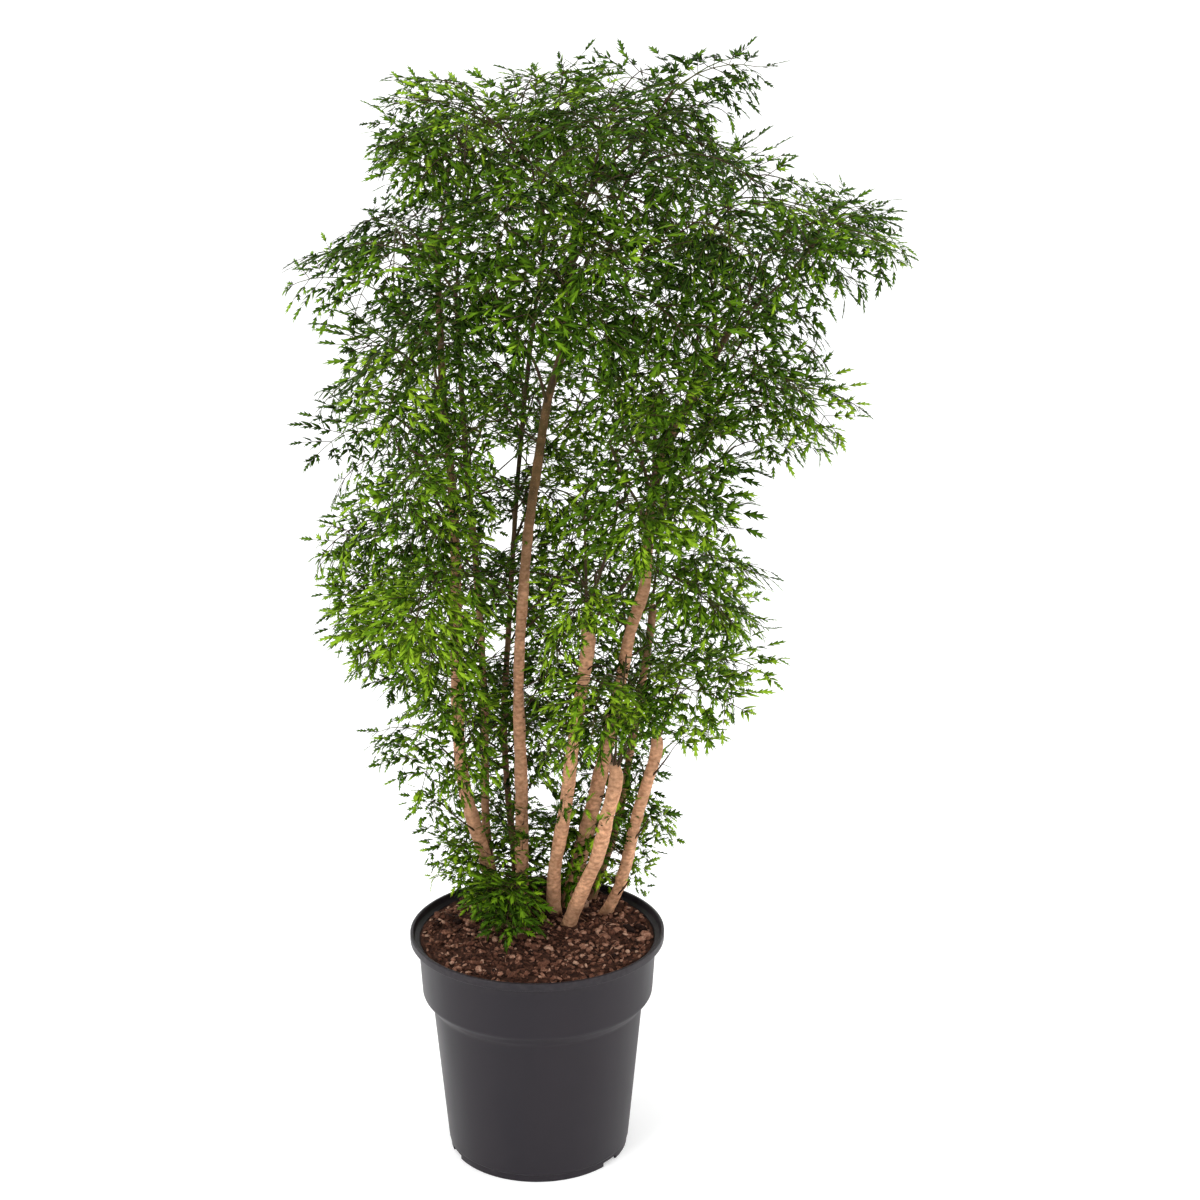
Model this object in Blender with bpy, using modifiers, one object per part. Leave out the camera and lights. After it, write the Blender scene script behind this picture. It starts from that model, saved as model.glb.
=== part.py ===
"""Potted ming aralia: a nursery pot, its soil and nine leafy stems.

Metres, +Z up. The origin is the centre of the pot's base, on the ground, and -Y is the front.
"""
import math
import random
from dataclasses import dataclass

import bmesh
import bpy
from mathutils import Vector
from mathutils.bvhtree import BVHTree

OBJECT_NAME = "potted_ming_aralia"
SEED = 41

# Pot
POT_HEIGHT = 0.295
LIP_RADIUS = 0.160
LIP_HEIGHT = 0.0100
LIP_WIDTH = 0.0040
LIP_EDGE = 0.0015
LEDGE_WIDTH = 0.0070
COLLAR_TOP_RADIUS = 0.1500
COLLAR_LOW_RADIUS = 0.1455
COLLAR_LOW_Z = 0.2140
BODY_TOP_RADIUS = 0.1330
BODY_TOP_Z = 0.1990
BODY_LOW_RADIUS = 0.1155
BODY_LOW_Z = 0.0110
FOOT_RADIUS = 0.1135
FOOT_WIDTH = 0.0030
FLOOR_Z = 0.0060
WALL = 0.0022
SLANT_SHIFT = 0.0013
SHELF_SHIFT = 0.0031
BOSS_RADIUS = 0.0250
POT_SEGMENTS = 36
NOTCH_ANGLES = (204.0, 324.0, 84.0)
NOTCH_WIDTH = 0.026
NOTCH_HEIGHT = 0.0055
DRAIN_COUNT = 6
DRAIN_SIDES = 8
DRAIN_RADIUS = 0.006
DRAIN_RING_RADIUS = 0.078

# Soil
FIT_GAP = 0.0003
SOIL_EDGE_Z = 0.2830
SOIL_MOUND = 0.0060
SOIL_ROUGHNESS = 0.0028
SOIL_RINGS = 5

# Wood
BURIED_DEPTH = 0.050
HOLE_CLEARANCE = 0.0004
HOLE_HEADROOM = 0.030
TRUNK_SIDES = 6
SHOOT_SIDES = 4
SHOOT_SPAN_LENGTH = 0.045
SHOOT_TIP_RADIUS = 0.0023
SHOOT_THICKENING = 0.009
SHOOT_SHARE_OF_STEM = 0.75
SHOOT_SLOPE = 0.95
SHOOT_LEAST_RISE = 0.045
SHOOT_SETBACK = 0.010
SHOOT_LEAST_HEIGHT = 0.015
SHOOT_TRIES = 60
SHOOT_SWERVE = 0.0015
SHOOT_KNEE = 0.35
SHOOT_KNEE_RISE = 0.45
SHOOT_NECK = 0.30
SHOOT_NECK_LEAN = 0.60
SHOOT_NECK_RISE = 0.50
SHOOT_SPANS = (2, 3)

# Fronds, whose outline is a share of their length
FROND_LENGTH = 0.160
INNER_FROND_SHARE = 1.12
FROND_LENGTH_SPREAD = 0.10
FROND_THICKNESS = 0.0009
FROND_TRIES = 150
FROND_CHOICES = 12
FROND_SHRINK = 0.0045
FROND_SETBACK = 0.004
FROND_SPACING = 0.020
FRONDS_PER_SHOOT = 1.85
FROND_TURNS = (0.0, 1.25, -1.25, 2.6)
FROND_TURN_SPREAD = 0.40
FROND_TURN_GAIN = 0.012
FROND_PITCH = 0.40
FROND_PITCH_SPREAD = 0.50
FROND_CURL = 1.00
FROND_CURL_SPREAD = 0.40
FROND_ROLL = 0.35
FROND_ROLL_SPREAD = 0.60
RIB_HALF_WIDTH = 0.009
LEAFLET_PAIRS = ((0.26, 0.47, 0.40), (0.46, 0.70, 0.35), (0.66, 0.88, 0.24))
NOTCHES = ((0.46, 0.080), (0.66, 0.070), (0.84, 0.050))
LEAFLET_DROOP = 0.45
CLEARANCE = 0.0016
LEAST_LEAF_Z = 0.302
LOW_FROND_Z = 0.44
LOW_FROND_SHARE = 0.62
HIGH_FROND_Z = 1.20
HIGH_FROND_SPAN = 0.10
HIGH_FROND_PITCH = 0.45

# The crown's middle, and the eye point from which its outline and the bare trunks are seen
CROWN_MIDDLE = Vector((0.03, 0.06, 0.85))
EYE = Vector((0.079, -2.67, 1.53))
OUTLINE_Y = 0.05
SIGHT_HALF_WIDTH = 0.016
RIB_CHECKS = (0.40, 0.55, 0.70, 0.85, 1.00)
LEAFLET_CHECKS = (0.35, 0.70, 1.00)

# How the room filled by a frond is counted: cells seen from the front, from a side and from above
CELL = 0.012
CELL_STEPS = 5
SIDE_WEIGHT = 0.5
TOP_WEIGHT = 0.3
REACH_WEIGHT = 9.0


@dataclass(frozen=True)
class Stem:
    """One woody stem: its route up from the soil, its radii, and the tips of its shoots."""

    name: str
    route: tuple
    low_radius: float
    top_radius: float
    shoot_tips: tuple
    bare: tuple = ()


STEMS = (
    Stem(
        "stem_left",
        ((-0.048, 0.072, 0.285), (-0.069, 0.085, 0.354), (-0.094, 0.080, 0.456), (-0.100, 0.070, 0.574),
         (-0.099, 0.070, 0.713), (-0.102, 0.070, 0.858), (-0.110, 0.065, 0.960), (-0.113, 0.055, 1.150)),
        0.0100, 0.0036,
        ((-0.185, 0.050, 1.095), (-0.145, -0.020, 1.160), (-0.095, 0.050, 1.250), (-0.070, -0.030, 1.265),
         (-0.150, 0.060, 1.010), (-0.170, 0.030, 0.950), (-0.165, 0.080, 0.890), (-0.140, 0.010, 0.835),
         (-0.160, 0.060, 0.775), (-0.150, 0.010, 0.710), (-0.145, 0.070, 0.650), (-0.125, 0.000, 0.585),
         (-0.130, 0.060, 0.525), (-0.115, 0.020, 0.450), (-0.085, 0.040, 0.375), (-0.060, 0.020, 0.345),
         (-0.110, -0.110, 1.070), (-0.120, -0.110, 0.930), (-0.105, -0.100, 0.790),
         (-0.060, -0.020, 0.940), (-0.062, -0.010, 0.810), (-0.062, 0.000, 0.690), (-0.065, 0.010, 0.570)),
        ((0.330, 0.440),),
    ),
    Stem(
        "stem_back_left",
        ((-0.056, 0.110, 0.286), (-0.067, 0.120, 0.356), (-0.070, 0.130, 0.437), (-0.070, 0.140, 0.560),
         (-0.078, 0.150, 0.720), (-0.090, 0.160, 0.880), (-0.100, 0.175, 1.080)),
        0.0068, 0.0034,
        ((-0.150, 0.190, 1.140), (-0.080, 0.210, 1.220), (-0.100, 0.270, 1.060), (-0.150, 0.220, 0.950),
         (-0.090, 0.260, 0.870), (-0.140, 0.190, 0.780), (-0.110, 0.220, 0.670)),
    ),
    Stem(
        "stem_back",
        ((-0.031, 0.120, 0.287), (-0.034, 0.130, 0.344), (-0.042, 0.145, 0.430), (-0.045, 0.155, 0.520),
         (-0.036, 0.175, 0.680), (-0.024, 0.190, 0.850), (-0.008, 0.200, 1.000), (0.010, 0.205, 1.130)),
        0.0068, 0.0034,
        ((0.000, 0.220, 1.250), (0.040, 0.290, 1.140), (-0.030, 0.290, 1.000), (0.060, 0.280, 0.920),
         (0.000, 0.260, 0.820), (0.030, 0.240, 0.700)),
    ),
    Stem(
        "stem_tall",
        ((-0.023, 0.090, 0.287), (-0.022, 0.090, 0.361), (-0.021, 0.085, 0.438), (-0.023, 0.070, 0.557),
         (-0.020, 0.055, 0.658), (-0.010, 0.045, 0.782), (0.002, 0.035, 0.872), (0.016, 0.025, 0.961),
         (0.038, 0.020, 1.052), (0.052, 0.030, 1.200)),
        0.0090, 0.0038,
        ((0.165, 0.030, 1.330), (0.095, 0.070, 1.300), (0.030, 0.010, 1.290), (-0.035, 0.060, 1.280),
         (0.110, -0.080, 1.240), (0.010, -0.100, 1.230), (0.080, 0.160, 1.260), (0.060, -0.160, 1.150),
         (-0.040, -0.130, 1.130), (0.130, -0.130, 1.170), (-0.015, 0.010, 0.340)),
        ((0.350, 1.000),),
    ),
    Stem(
        "stem_middle",
        ((0.022, 0.055, 0.284), (0.020, 0.050, 0.335), (0.035, 0.040, 0.438), (0.045, 0.030, 0.526),
         (0.063, 0.020, 0.650), (0.063, 0.020, 0.689)),
        0.0090, 0.0085,
        ((0.100, -0.080, 0.870), (0.075, -0.100, 0.790), (0.125, -0.030, 0.780), (0.060, 0.060, 0.840)),
        ((0.300, 0.500),),
    ),
    Stem(
        "stem_right",
        ((0.040, 0.080, 0.287), (0.049, 0.080, 0.339), (0.075, 0.080, 0.449), (0.098, 0.070, 0.561),
         (0.117, 0.060, 0.668), (0.134, 0.060, 0.725), (0.138, 0.060, 0.793), (0.146, 0.060, 0.861),
         (0.170, 0.055, 0.930), (0.235, 0.045, 1.050)),
        0.0110, 0.0040,
        ((0.230, 0.080, 1.200), (0.325, 0.050, 1.145), (0.265, -0.030, 1.150), (0.250, 0.050, 1.070),
         (0.285, 0.040, 0.970), (0.240, 0.010, 0.915), (0.180, 0.060, 0.830), (0.190, -0.100, 1.080),
         (0.210, -0.100, 0.990), (0.140, -0.130, 0.990), (0.160, -0.080, 0.890), (0.210, 0.180, 1.140),
         (0.270, 0.160, 1.040), (0.230, 0.190, 0.930), (0.150, 0.210, 1.200),
         (0.085, -0.110, 1.030), (0.090, -0.080, 0.940)),
        ((0.620, 0.740),),
    ),
    Stem(
        "stem_front",
        ((0.037, 0.020, 0.284), (0.056, 0.010, 0.339), (0.075, 0.000, 0.390), (0.088, -0.010, 0.449),
         (0.099, -0.015, 0.500), (0.096, -0.015, 0.521)),
        0.0105, 0.0105,
        ((0.110, -0.100, 0.690), (0.150, -0.070, 0.640), (0.085, -0.080, 0.610), (0.125, -0.050, 0.570)),
        ((0.290, 0.520),),
    ),
    Stem(
        "stem_right_low",
        ((0.083, 0.065, 0.284), (0.103, 0.060, 0.324), (0.127, 0.050, 0.429), (0.148, 0.040, 0.511),
         (0.150, 0.040, 0.536)),
        0.0080, 0.0078,
        ((0.185, 0.000, 0.650), (0.180, 0.060, 0.590), (0.165, 0.020, 0.520), (0.140, 0.030, 0.430),
         (0.118, 0.040, 0.345)),
        ((0.300, 0.530),),
    ),
    Stem(
        "stem_back_right",
        ((0.066, 0.100, 0.284), (0.097, 0.120, 0.372), (0.114, 0.130, 0.457), (0.130, 0.140, 0.550),
         (0.145, 0.150, 0.655), (0.145, 0.150, 0.675)),
        0.0060, 0.0056,
        ((0.180, 0.090, 0.740), (0.200, 0.150, 0.700), (0.160, 0.210, 0.780), (0.180, 0.160, 0.600)),
    ),
)

# The crown's outline from the front, as (x, z): up the left side and down the right
CROWN_OUTLINE = (
    (-0.087, 0.300), (-0.110, 0.350), (-0.145, 0.400), (-0.175, 0.448), (-0.212, 0.512), (-0.212, 0.535),
    (-0.185, 0.575), (-0.222, 0.600), (-0.252, 0.640), (-0.258, 0.680), (-0.298, 0.743), (-0.298, 0.778),
    (-0.235, 0.815), (-0.262, 0.857), (-0.295, 0.905), (-0.302, 0.949), (-0.277, 0.983), (-0.245, 1.022),
    (-0.312, 1.068), (-0.276, 1.134), (-0.216, 1.172), (-0.175, 1.212), (-0.203, 1.249), (-0.211, 1.293),
    (-0.172, 1.334), (-0.105, 1.340), (-0.048, 1.346), (0.016, 1.356), (0.093, 1.371), (0.142, 1.362),
    (0.234, 1.388), (0.283, 1.343), (0.272, 1.310), (0.238, 1.286), (0.296, 1.270), (0.316, 1.241),
    (0.368, 1.213), (0.438, 1.188), (0.460, 1.122), (0.395, 1.083), (0.348, 1.070), (0.346, 1.034),
    (0.358, 0.999), (0.400, 0.980), (0.420, 0.917), (0.375, 0.892), (0.270, 0.885), (0.262, 0.813),
    (0.240, 0.780), (0.296, 0.745), (0.290, 0.710), (0.273, 0.693), (0.310, 0.634), (0.298, 0.593),
    (0.260, 0.540), (0.205, 0.525), (0.163, 0.500), (0.160, 0.450), (0.184, 0.415), (0.152, 0.378),
    (0.134, 0.315), (0.100, 0.240), (-0.060, 0.240),
)

# Small gaps in the foliage through which the background shows, as (x, z, radius)
WINDOWS = ((-0.032, 0.888, 0.018), (-0.034, 0.809, 0.014), (-0.055, 0.657, 0.015), (0.008, 0.450, 0.014))


@dataclass(frozen=True)
class Frond:
    """One frond: where it leaves its shoot and how its blade arches."""

    root: Vector
    azimuth: float
    pitch: float
    curl: float
    roll: float
    length: float

    def point(self, along, across, out=0.0):
        """Point of the arched blade: along the rib and across it, as shares of the length."""
        heading = Vector((math.cos(self.azimuth), math.sin(self.azimuth), 0.0))
        flat_side = Vector((-heading.y, heading.x, 0.0))
        angle = self.pitch - self.curl * along
        run = self.length * (math.sin(self.pitch) - math.sin(angle)) / self.curl
        rise = self.length * (math.cos(angle) - math.cos(self.pitch)) / self.curl
        flat_face = Vector((0.0, 0.0, math.cos(angle))) - heading * math.sin(angle)
        side = flat_side * math.cos(self.roll) + flat_face * math.sin(self.roll)
        face = flat_face * math.cos(self.roll) - flat_side * math.sin(self.roll)
        rib = self.root + heading * run + Vector((0.0, 0.0, rise))
        droop = LEAFLET_DROOP * across * across * self.length
        return rib + side * (across * self.length) + face * (out - droop)


@dataclass(frozen=True)
class Shoot:
    """One thin branch with the stem that it grows from."""

    stem: Stem
    points: tuple
    radii: tuple

    def back_from_tip(self, distance):
        """Point on the shoot's axis, at a distance from its tip."""
        for high, low in zip(self.points[::-1], self.points[-2::-1]):
            span = (low - high).length
            if distance <= span:
                return high.lerp(low, distance / span)
            distance -= span
        return self.points[0]


class Space:
    """The solids placed so far, each with the name of the node that it belongs to."""

    def __init__(self):
        self.solids = []

    def add(self, owner, vertices, faces):
        """Note a placed solid."""
        self.solids.append((owner, box_of(vertices), BVHTree.FromPolygons(vertices, faces)))

    def is_clear(self, vertices, faces, counts):
        """Whether a shape crosses none of the solids whose owner counts."""
        low, high = box_of(vertices)
        tree = BVHTree.FromPolygons(vertices, faces)
        for owner, (other_low, other_high), other in self.solids:
            apart = any(low[k] > other_high[k] or high[k] < other_low[k] for k in range(3))
            if counts(owner) and not apart and tree.overlap(other):
                return False
        return True


def box_of(points):
    """Lowest and highest corner of a list of points."""
    low = tuple(min(point[k] for point in points) for k in range(3))
    high = tuple(max(point[k] for point in points) for k in range(3))
    return low, high


def clear_scene():
    """Remove every object that the file opened with."""
    for thing in list(bpy.data.objects):
        bpy.data.objects.remove(thing, do_unlink=True)


def new_collection(name):
    """Add a collection to the scene."""
    collection = bpy.data.collections.new(name)
    bpy.context.scene.collection.children.link(collection)
    return collection


def new_object(name, data, collection):
    """Put a mesh or a curve in the scene under its own name."""
    thing = bpy.data.objects.new(name, data)
    collection.objects.link(thing)
    return thing


def new_finish(name, colour, roughness, metallic=0.0):
    """A material with a plain Principled BSDF."""
    material = bpy.data.materials.new(name)
    material.use_nodes = True
    shader = material.node_tree.nodes["Principled BSDF"]
    shader.inputs["Base Color"].default_value = (*colour, 1.0)
    shader.inputs["Roughness"].default_value = roughness
    shader.inputs["Metallic"].default_value = metallic
    return material


def carried_out(things):
    """Meshes of objects or curves with their modifiers carried out, welded at their seams."""
    depsgraph = bpy.context.evaluated_depsgraph_get()
    meshes = [bpy.data.meshes.new_from_object(thing.evaluated_get(depsgraph)) for thing in things]
    for mesh in meshes:
        work = bmesh.new()
        work.from_mesh(mesh)
        bmesh.ops.remove_doubles(work, verts=work.verts, dist=1e-6)
        work.to_mesh(mesh)
        work.free()
    return meshes


def turned(name, profile, collection):
    """Turn a profile of (radius, height) points round +Z with a Screw modifier."""
    mesh = bpy.data.meshes.new(name)
    edges = [(i, i + 1) for i in range(len(profile) - 1)]
    mesh.from_pydata([(radius, 0.0, height) for radius, height in profile], edges, [])
    thing = new_object(name, mesh, collection)
    screw = thing.modifiers.new("turn", "SCREW")
    screw.steps = POT_SEGMENTS
    screw.render_steps = POT_SEGMENTS
    screw.use_merge_vertices = True
    screw.merge_threshold = 1e-5
    return thing


def cut_with(thing, cutters):
    """Take a collection of cutters out of an object."""
    for cutter in cutters.objects:
        cutter.hide_render = True
        cutter.display_type = "WIRE"
    cut = thing.modifiers.new("cut", "BOOLEAN")
    cut.operation = "DIFFERENCE"
    cut.operand_type = "COLLECTION"
    cut.collection = cutters


def move_to(thing, collection):
    """Take a new primitive from the scene's own collection to another."""
    for home in list(thing.users_collection):
        home.objects.unlink(thing)
    collection.objects.link(thing)


def bar_curve(name, points, radii, sides):
    """A round bar through points, with a radius at each, as a bevelled curve."""
    curve = bpy.data.curves.new(name, "CURVE")
    curve.dimensions = "3D"
    curve.bevel_depth = 1.0
    curve.bevel_resolution = (sides - 4) // 2
    curve.use_fill_caps = True
    spline = curve.splines.new("POLY")
    spline.points.add(len(points) - 1)
    for knot, place, radius in zip(spline.points, points, radii):
        knot.co = (*place, 1.0)
        knot.radius = radius
    return new_object(name, curve, bpy.context.scene.collection)


def bar_meshes(bars):
    """Turn bevelled curves into closed meshes, and remove the curves."""
    meshes = carried_out(bars)
    for bar in bars:
        bpy.data.objects.remove(bar, do_unlink=True)
    return meshes


def square_bar(points, radii, margin=0.0):
    """Vertices and faces of a square bar that holds a round one, for the tests of clearance."""
    vertices = []
    for i, (place, radius) in enumerate(zip(points, radii)):
        heading = points[min(i + 1, len(points) - 1)] - points[max(i - 1, 0)]
        side = heading.orthogonal().normalized() * (radius + margin)
        other = heading.cross(side).normalized() * (radius + margin)
        vertices += [place + side + other, place - side + other, place - side - other, place + side - other]
    faces = [(0, 1, 2, 3), tuple(len(vertices) - k for k in (1, 2, 3, 4))]
    for start in range(0, len(vertices) - 4, 4):
        for k in range(4):
            faces.append((start + k, start + (k + 1) % 4, start + 4 + (k + 1) % 4, start + 4 + k))
    return vertices, faces


def pot_profile():
    """The pot's section: along the floor inside, up the wall, over the lip and down outside."""
    lip_z = POT_HEIGHT - LIP_HEIGHT
    inside = [
        (0.0, FLOOR_Z + WALL),
        (FOOT_RADIUS - WALL, FLOOR_Z + WALL),
        (BODY_TOP_RADIUS - WALL, BODY_TOP_Z + SLANT_SHIFT),
        (COLLAR_LOW_RADIUS - WALL, COLLAR_LOW_Z + SLANT_SHIFT),
        (COLLAR_TOP_RADIUS - WALL, lip_z + SLANT_SHIFT),
        (COLLAR_TOP_RADIUS - WALL + LEDGE_WIDTH, lip_z + SHELF_SHIFT),
        (LIP_RADIUS - LIP_WIDTH, POT_HEIGHT),
    ]
    outside = [
        (LIP_RADIUS - LIP_EDGE, POT_HEIGHT),
        (LIP_RADIUS, POT_HEIGHT - LIP_EDGE),
        (LIP_RADIUS, lip_z + LIP_EDGE),
        (COLLAR_TOP_RADIUS, lip_z),
        (COLLAR_LOW_RADIUS, COLLAR_LOW_Z),
        (BODY_TOP_RADIUS, BODY_TOP_Z),
        (BODY_LOW_RADIUS, BODY_LOW_Z),
        (FOOT_RADIUS, BODY_LOW_Z - LIP_EDGE),
        (FOOT_RADIUS, 0.0),
        (FOOT_RADIUS - FOOT_WIDTH, 0.0),
        (FOOT_RADIUS - FOOT_WIDTH, FLOOR_Z),
        (BOSS_RADIUS + LIP_EDGE, FLOOR_Z),
        (BOSS_RADIUS, 0.0),
        (0.0, 0.0),
    ]
    return inside + outside


def pot_cutters():
    """The notches in the foot rib and the drain holes in the floor."""
    cutters = new_collection("pot_cutters")
    for number, degrees in enumerate(NOTCH_ANGLES, 1):
        angle = math.radians(degrees)
        reach = FOOT_RADIUS - FOOT_WIDTH / 2
        place = (reach * math.cos(angle), reach * math.sin(angle), 0.0)
        bpy.ops.mesh.primitive_cube_add(size=1.0, location=place, rotation=(0.0, 0.0, angle))
        notch = bpy.context.active_object
        notch.scale = (FOOT_WIDTH * 4, NOTCH_WIDTH, NOTCH_HEIGHT * 2)
        notch.name = f"foot_notch_{number}"
        move_to(notch, cutters)
    for number in range(1, DRAIN_COUNT + 1):
        angle = math.tau * number / DRAIN_COUNT
        place = (DRAIN_RING_RADIUS * math.cos(angle), DRAIN_RING_RADIUS * math.sin(angle), FLOOR_Z)
        bpy.ops.mesh.primitive_cylinder_add(
            vertices=DRAIN_SIDES, radius=DRAIN_RADIUS, depth=WALL * 4, location=place)
        drain = bpy.context.active_object
        drain.name = f"drain_hole_{number}"
        move_to(drain, cutters)
    return cutters


def soil_height(radius, angle, wobble):
    """Height of the soil: a low mound with lumps."""
    edge = COLLAR_TOP_RADIUS - WALL
    mound = SOIL_MOUND * (1.0 - (radius / edge) ** 2)
    swell = 0.5 * math.sin(3.0 * angle + 40.0 * radius) + 0.5 * math.cos(5.0 * angle - 70.0 * radius)
    return SOIL_EDGE_Z + mound + SOIL_ROUGHNESS * 0.5 * (swell + wobble)


def soil_ring(work, radius, height_at):
    """A ring of vertices in step with the pot's facets."""
    ring = []
    for i in range(POT_SEGMENTS):
        angle = math.tau * i / POT_SEGMENTS
        ring.append(work.verts.new((radius * math.cos(angle), radius * math.sin(angle), height_at(angle))))
    return ring


def soil_mesh(draw):
    """The soil: a flat bottom, sides that follow the pot's wall inside, and a lumpy top."""
    lip_z = POT_HEIGHT - LIP_HEIGHT
    slope = (COLLAR_TOP_RADIUS - COLLAR_LOW_RADIUS) / (lip_z - COLLAR_LOW_Z)
    edge = COLLAR_TOP_RADIUS - WALL - FIT_GAP - slope * (lip_z + SLANT_SHIFT - SOIL_EDGE_Z)
    sides = (
        (FOOT_RADIUS - WALL - FIT_GAP, FLOOR_Z + WALL + FIT_GAP),
        (BODY_TOP_RADIUS - WALL - FIT_GAP, BODY_TOP_Z + SLANT_SHIFT),
        (COLLAR_LOW_RADIUS - WALL - FIT_GAP, COLLAR_LOW_Z + SLANT_SHIFT),
        (edge, SOIL_EDGE_Z),
    )
    work = bmesh.new()
    rings = [soil_ring(work, radius, lambda angle, z=height: z) for radius, height in sides]
    for level in range(1, SOIL_RINGS + 1):
        radius = edge * (1.0 - level / (SOIL_RINGS + 1))
        rings.append(soil_ring(
            work, radius, lambda angle, r=radius: soil_height(r, angle, draw.uniform(-1.0, 1.0))))
    for low, high in zip(rings, rings[1:]):
        for i in range(POT_SEGMENTS):
            j = (i + 1) % POT_SEGMENTS
            work.faces.new((low[i], low[j], high[j], high[i]))
    work.faces.new(rings[0][::-1])
    middle = work.verts.new((0.0, 0.0, soil_height(0.0, 0.0, 0.0)))
    for i in range(POT_SEGMENTS):
        work.faces.new((rings[-1][i], rings[-1][(i + 1) % POT_SEGMENTS], middle))
    bmesh.ops.triangulate(work, faces=work.faces)
    mesh = bpy.data.meshes.new("soil")
    work.to_mesh(mesh)
    work.free()
    return mesh


def soil_cutters():
    """A plain hole in the soil for each stem."""
    holes = []
    for stem in STEMS:
        low, start, heading = buried_end(stem)
        ends = [low - heading * HOLE_CLEARANCE, start + heading * HOLE_HEADROOM]
        radius = stem.low_radius + HOLE_CLEARANCE / math.cos(math.pi / TRUNK_SIDES)
        holes.append(bar_curve(f"hole_{stem.name}", ends, [radius] * 2, TRUNK_SIDES))
    cutters = new_collection("soil_cutters")
    for stem, mesh in zip(STEMS, bar_meshes(holes)):
        new_object(f"hole_{stem.name}", mesh, cutters)
    return cutters


def buried_end(stem):
    """The stem's lowest point, its point at the soil line, and its heading there."""
    start = Vector(stem.route[0])
    heading = (Vector(stem.route[1]) - start).normalized()
    return start - heading * BURIED_DEPTH, start, heading


def along_route(stem, height):
    """Point, heading and radius of a stem at a height."""
    route = [Vector(point) for point in stem.route]
    height = min(max(height, route[0].z), route[-1].z)
    span = next(i for i in range(1, len(route)) if height <= route[i].z)
    low, high = route[span - 1], route[span]
    place = low.lerp(high, (height - low.z) / (high.z - low.z))
    return place, (high - low).normalized(), radius_at(stem, height)


def radius_at(stem, height):
    """Stem radius: even up to the second point of the route, then an even taper."""
    start = stem.route[1][2]
    share = max(0.0, (height - start) / (stem.route[-1][2] - start))
    return stem.low_radius + (stem.top_radius - stem.low_radius) * share


def trunk_line(stem):
    """The points and radii of a stem's own wood, from its buried end to its top."""
    points = [buried_end(stem)[0]] + [Vector(point) for point in stem.route[1:]]
    return points, [radius_at(stem, point.z) for point in points]


def bezier(first, second, third, fourth, share):
    """Point on a cubic Bezier curve."""
    rest = 1.0 - share
    return first * rest**3 + second * 3 * share * rest**2 + third * 3 * share**2 * rest + fourth * share**3


def shoot_to(stem, tip, swerve):
    """A shoot that leaves its stem upwards and bends out to its tip."""
    reach = (tip - along_route(stem, tip.z)[0]).to_2d().length
    low_height = tip.z - max(SHOOT_LEAST_RISE, SHOOT_SLOPE * reach)
    low_height = max(low_height, stem.route[0][2] + SHOOT_LEAST_HEIGHT)
    low_height = min(low_height, stem.route[-1][2] - SHOOT_SETBACK)
    start, heading, stem_radius = along_route(stem, low_height)
    span = (tip - start).length
    outward = (tip - start) / span
    rise = heading.lerp(outward, 1.0 - SHOOT_KNEE_RISE)
    knee = start + rise * (span * SHOOT_KNEE) + swerve
    lean = outward * SHOOT_NECK_LEAN + Vector((0.0, 0.0, SHOOT_NECK_RISE))
    neck = tip - lean * (span * SHOOT_NECK) + swerve
    steps = min(SHOOT_SPANS[1], max(SHOOT_SPANS[0], round(span / SHOOT_SPAN_LENGTH)))
    thick = max(SHOOT_TIP_RADIUS, min(SHOOT_TIP_RADIUS + SHOOT_THICKENING * span,
                                      stem_radius * SHOOT_SHARE_OF_STEM))
    points = tuple(bezier(start, knee, neck, tip, step / steps) for step in range(steps + 1))
    radii = tuple(thick + (SHOOT_TIP_RADIUS - thick) * step / steps for step in range(steps + 1))
    return Shoot(stem, points, radii)


def grow_shoots(space, draw):
    """Lay every shoot clear of the other stems' wood."""
    shoots = []
    for stem in STEMS:
        for tip in stem.shoot_tips:
            for attempt in range(SHOOT_TRIES):
                sway = SHOOT_SWERVE * attempt
                swerve = Vector((draw.uniform(-sway, sway), draw.uniform(-sway, sway), 0.0))
                shoot = shoot_to(stem, Vector(tip), swerve)
                fat = square_bar(shoot.points, shoot.radii, CLEARANCE)
                if space.is_clear(*fat, lambda owner, mine=stem.name: owner != mine):
                    space.add(stem.name, *square_bar(shoot.points, shoot.radii))
                    shoots.append(shoot)
                    break
    return shoots


def blade_pattern():
    """The blade's flat outline, with notches between its leaflets, and the triangles that fill it."""
    right = [(0.0, RIB_HALF_WIDTH), (LEAFLET_PAIRS[0][0], RIB_HALF_WIDTH)]
    for (_, tip_along, tip_across), notch in zip(LEAFLET_PAIRS, NOTCHES):
        right += [(tip_along, tip_across), notch]
    outline = right + [(1.0, 0.0)] + [(along, -across) for along, across in reversed(right)]
    work = bmesh.new()
    face = work.faces.new([work.verts.new((along, across, 0.0)) for along, across in outline])
    bmesh.ops.triangulate(work, faces=[face])
    work.verts.index_update()
    triangles = [tuple(corner.index for corner in piece.verts) for piece in work.faces]
    work.free()
    return outline, triangles


def slab(frond, pattern, half_thickness, least_along=0.0):
    """Vertices and faces of a frond with thickness, from a share of its length on."""
    outline, triangles = pattern
    count = len(outline)
    top = [frond.point(along, across, half_thickness) for along, across in outline]
    low = [frond.point(along, across, -half_thickness) for along, across in outline]
    faces = []
    for piece in triangles:
        if min(outline[i][0] for i in piece) < least_along:
            continue
        faces += [piece, tuple(i + count for i in reversed(piece))]
        faces += [(a, b, b + count, a + count) for a, b in zip(piece, piece[1:] + piece[:1])]
    return top + low, faces


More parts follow.
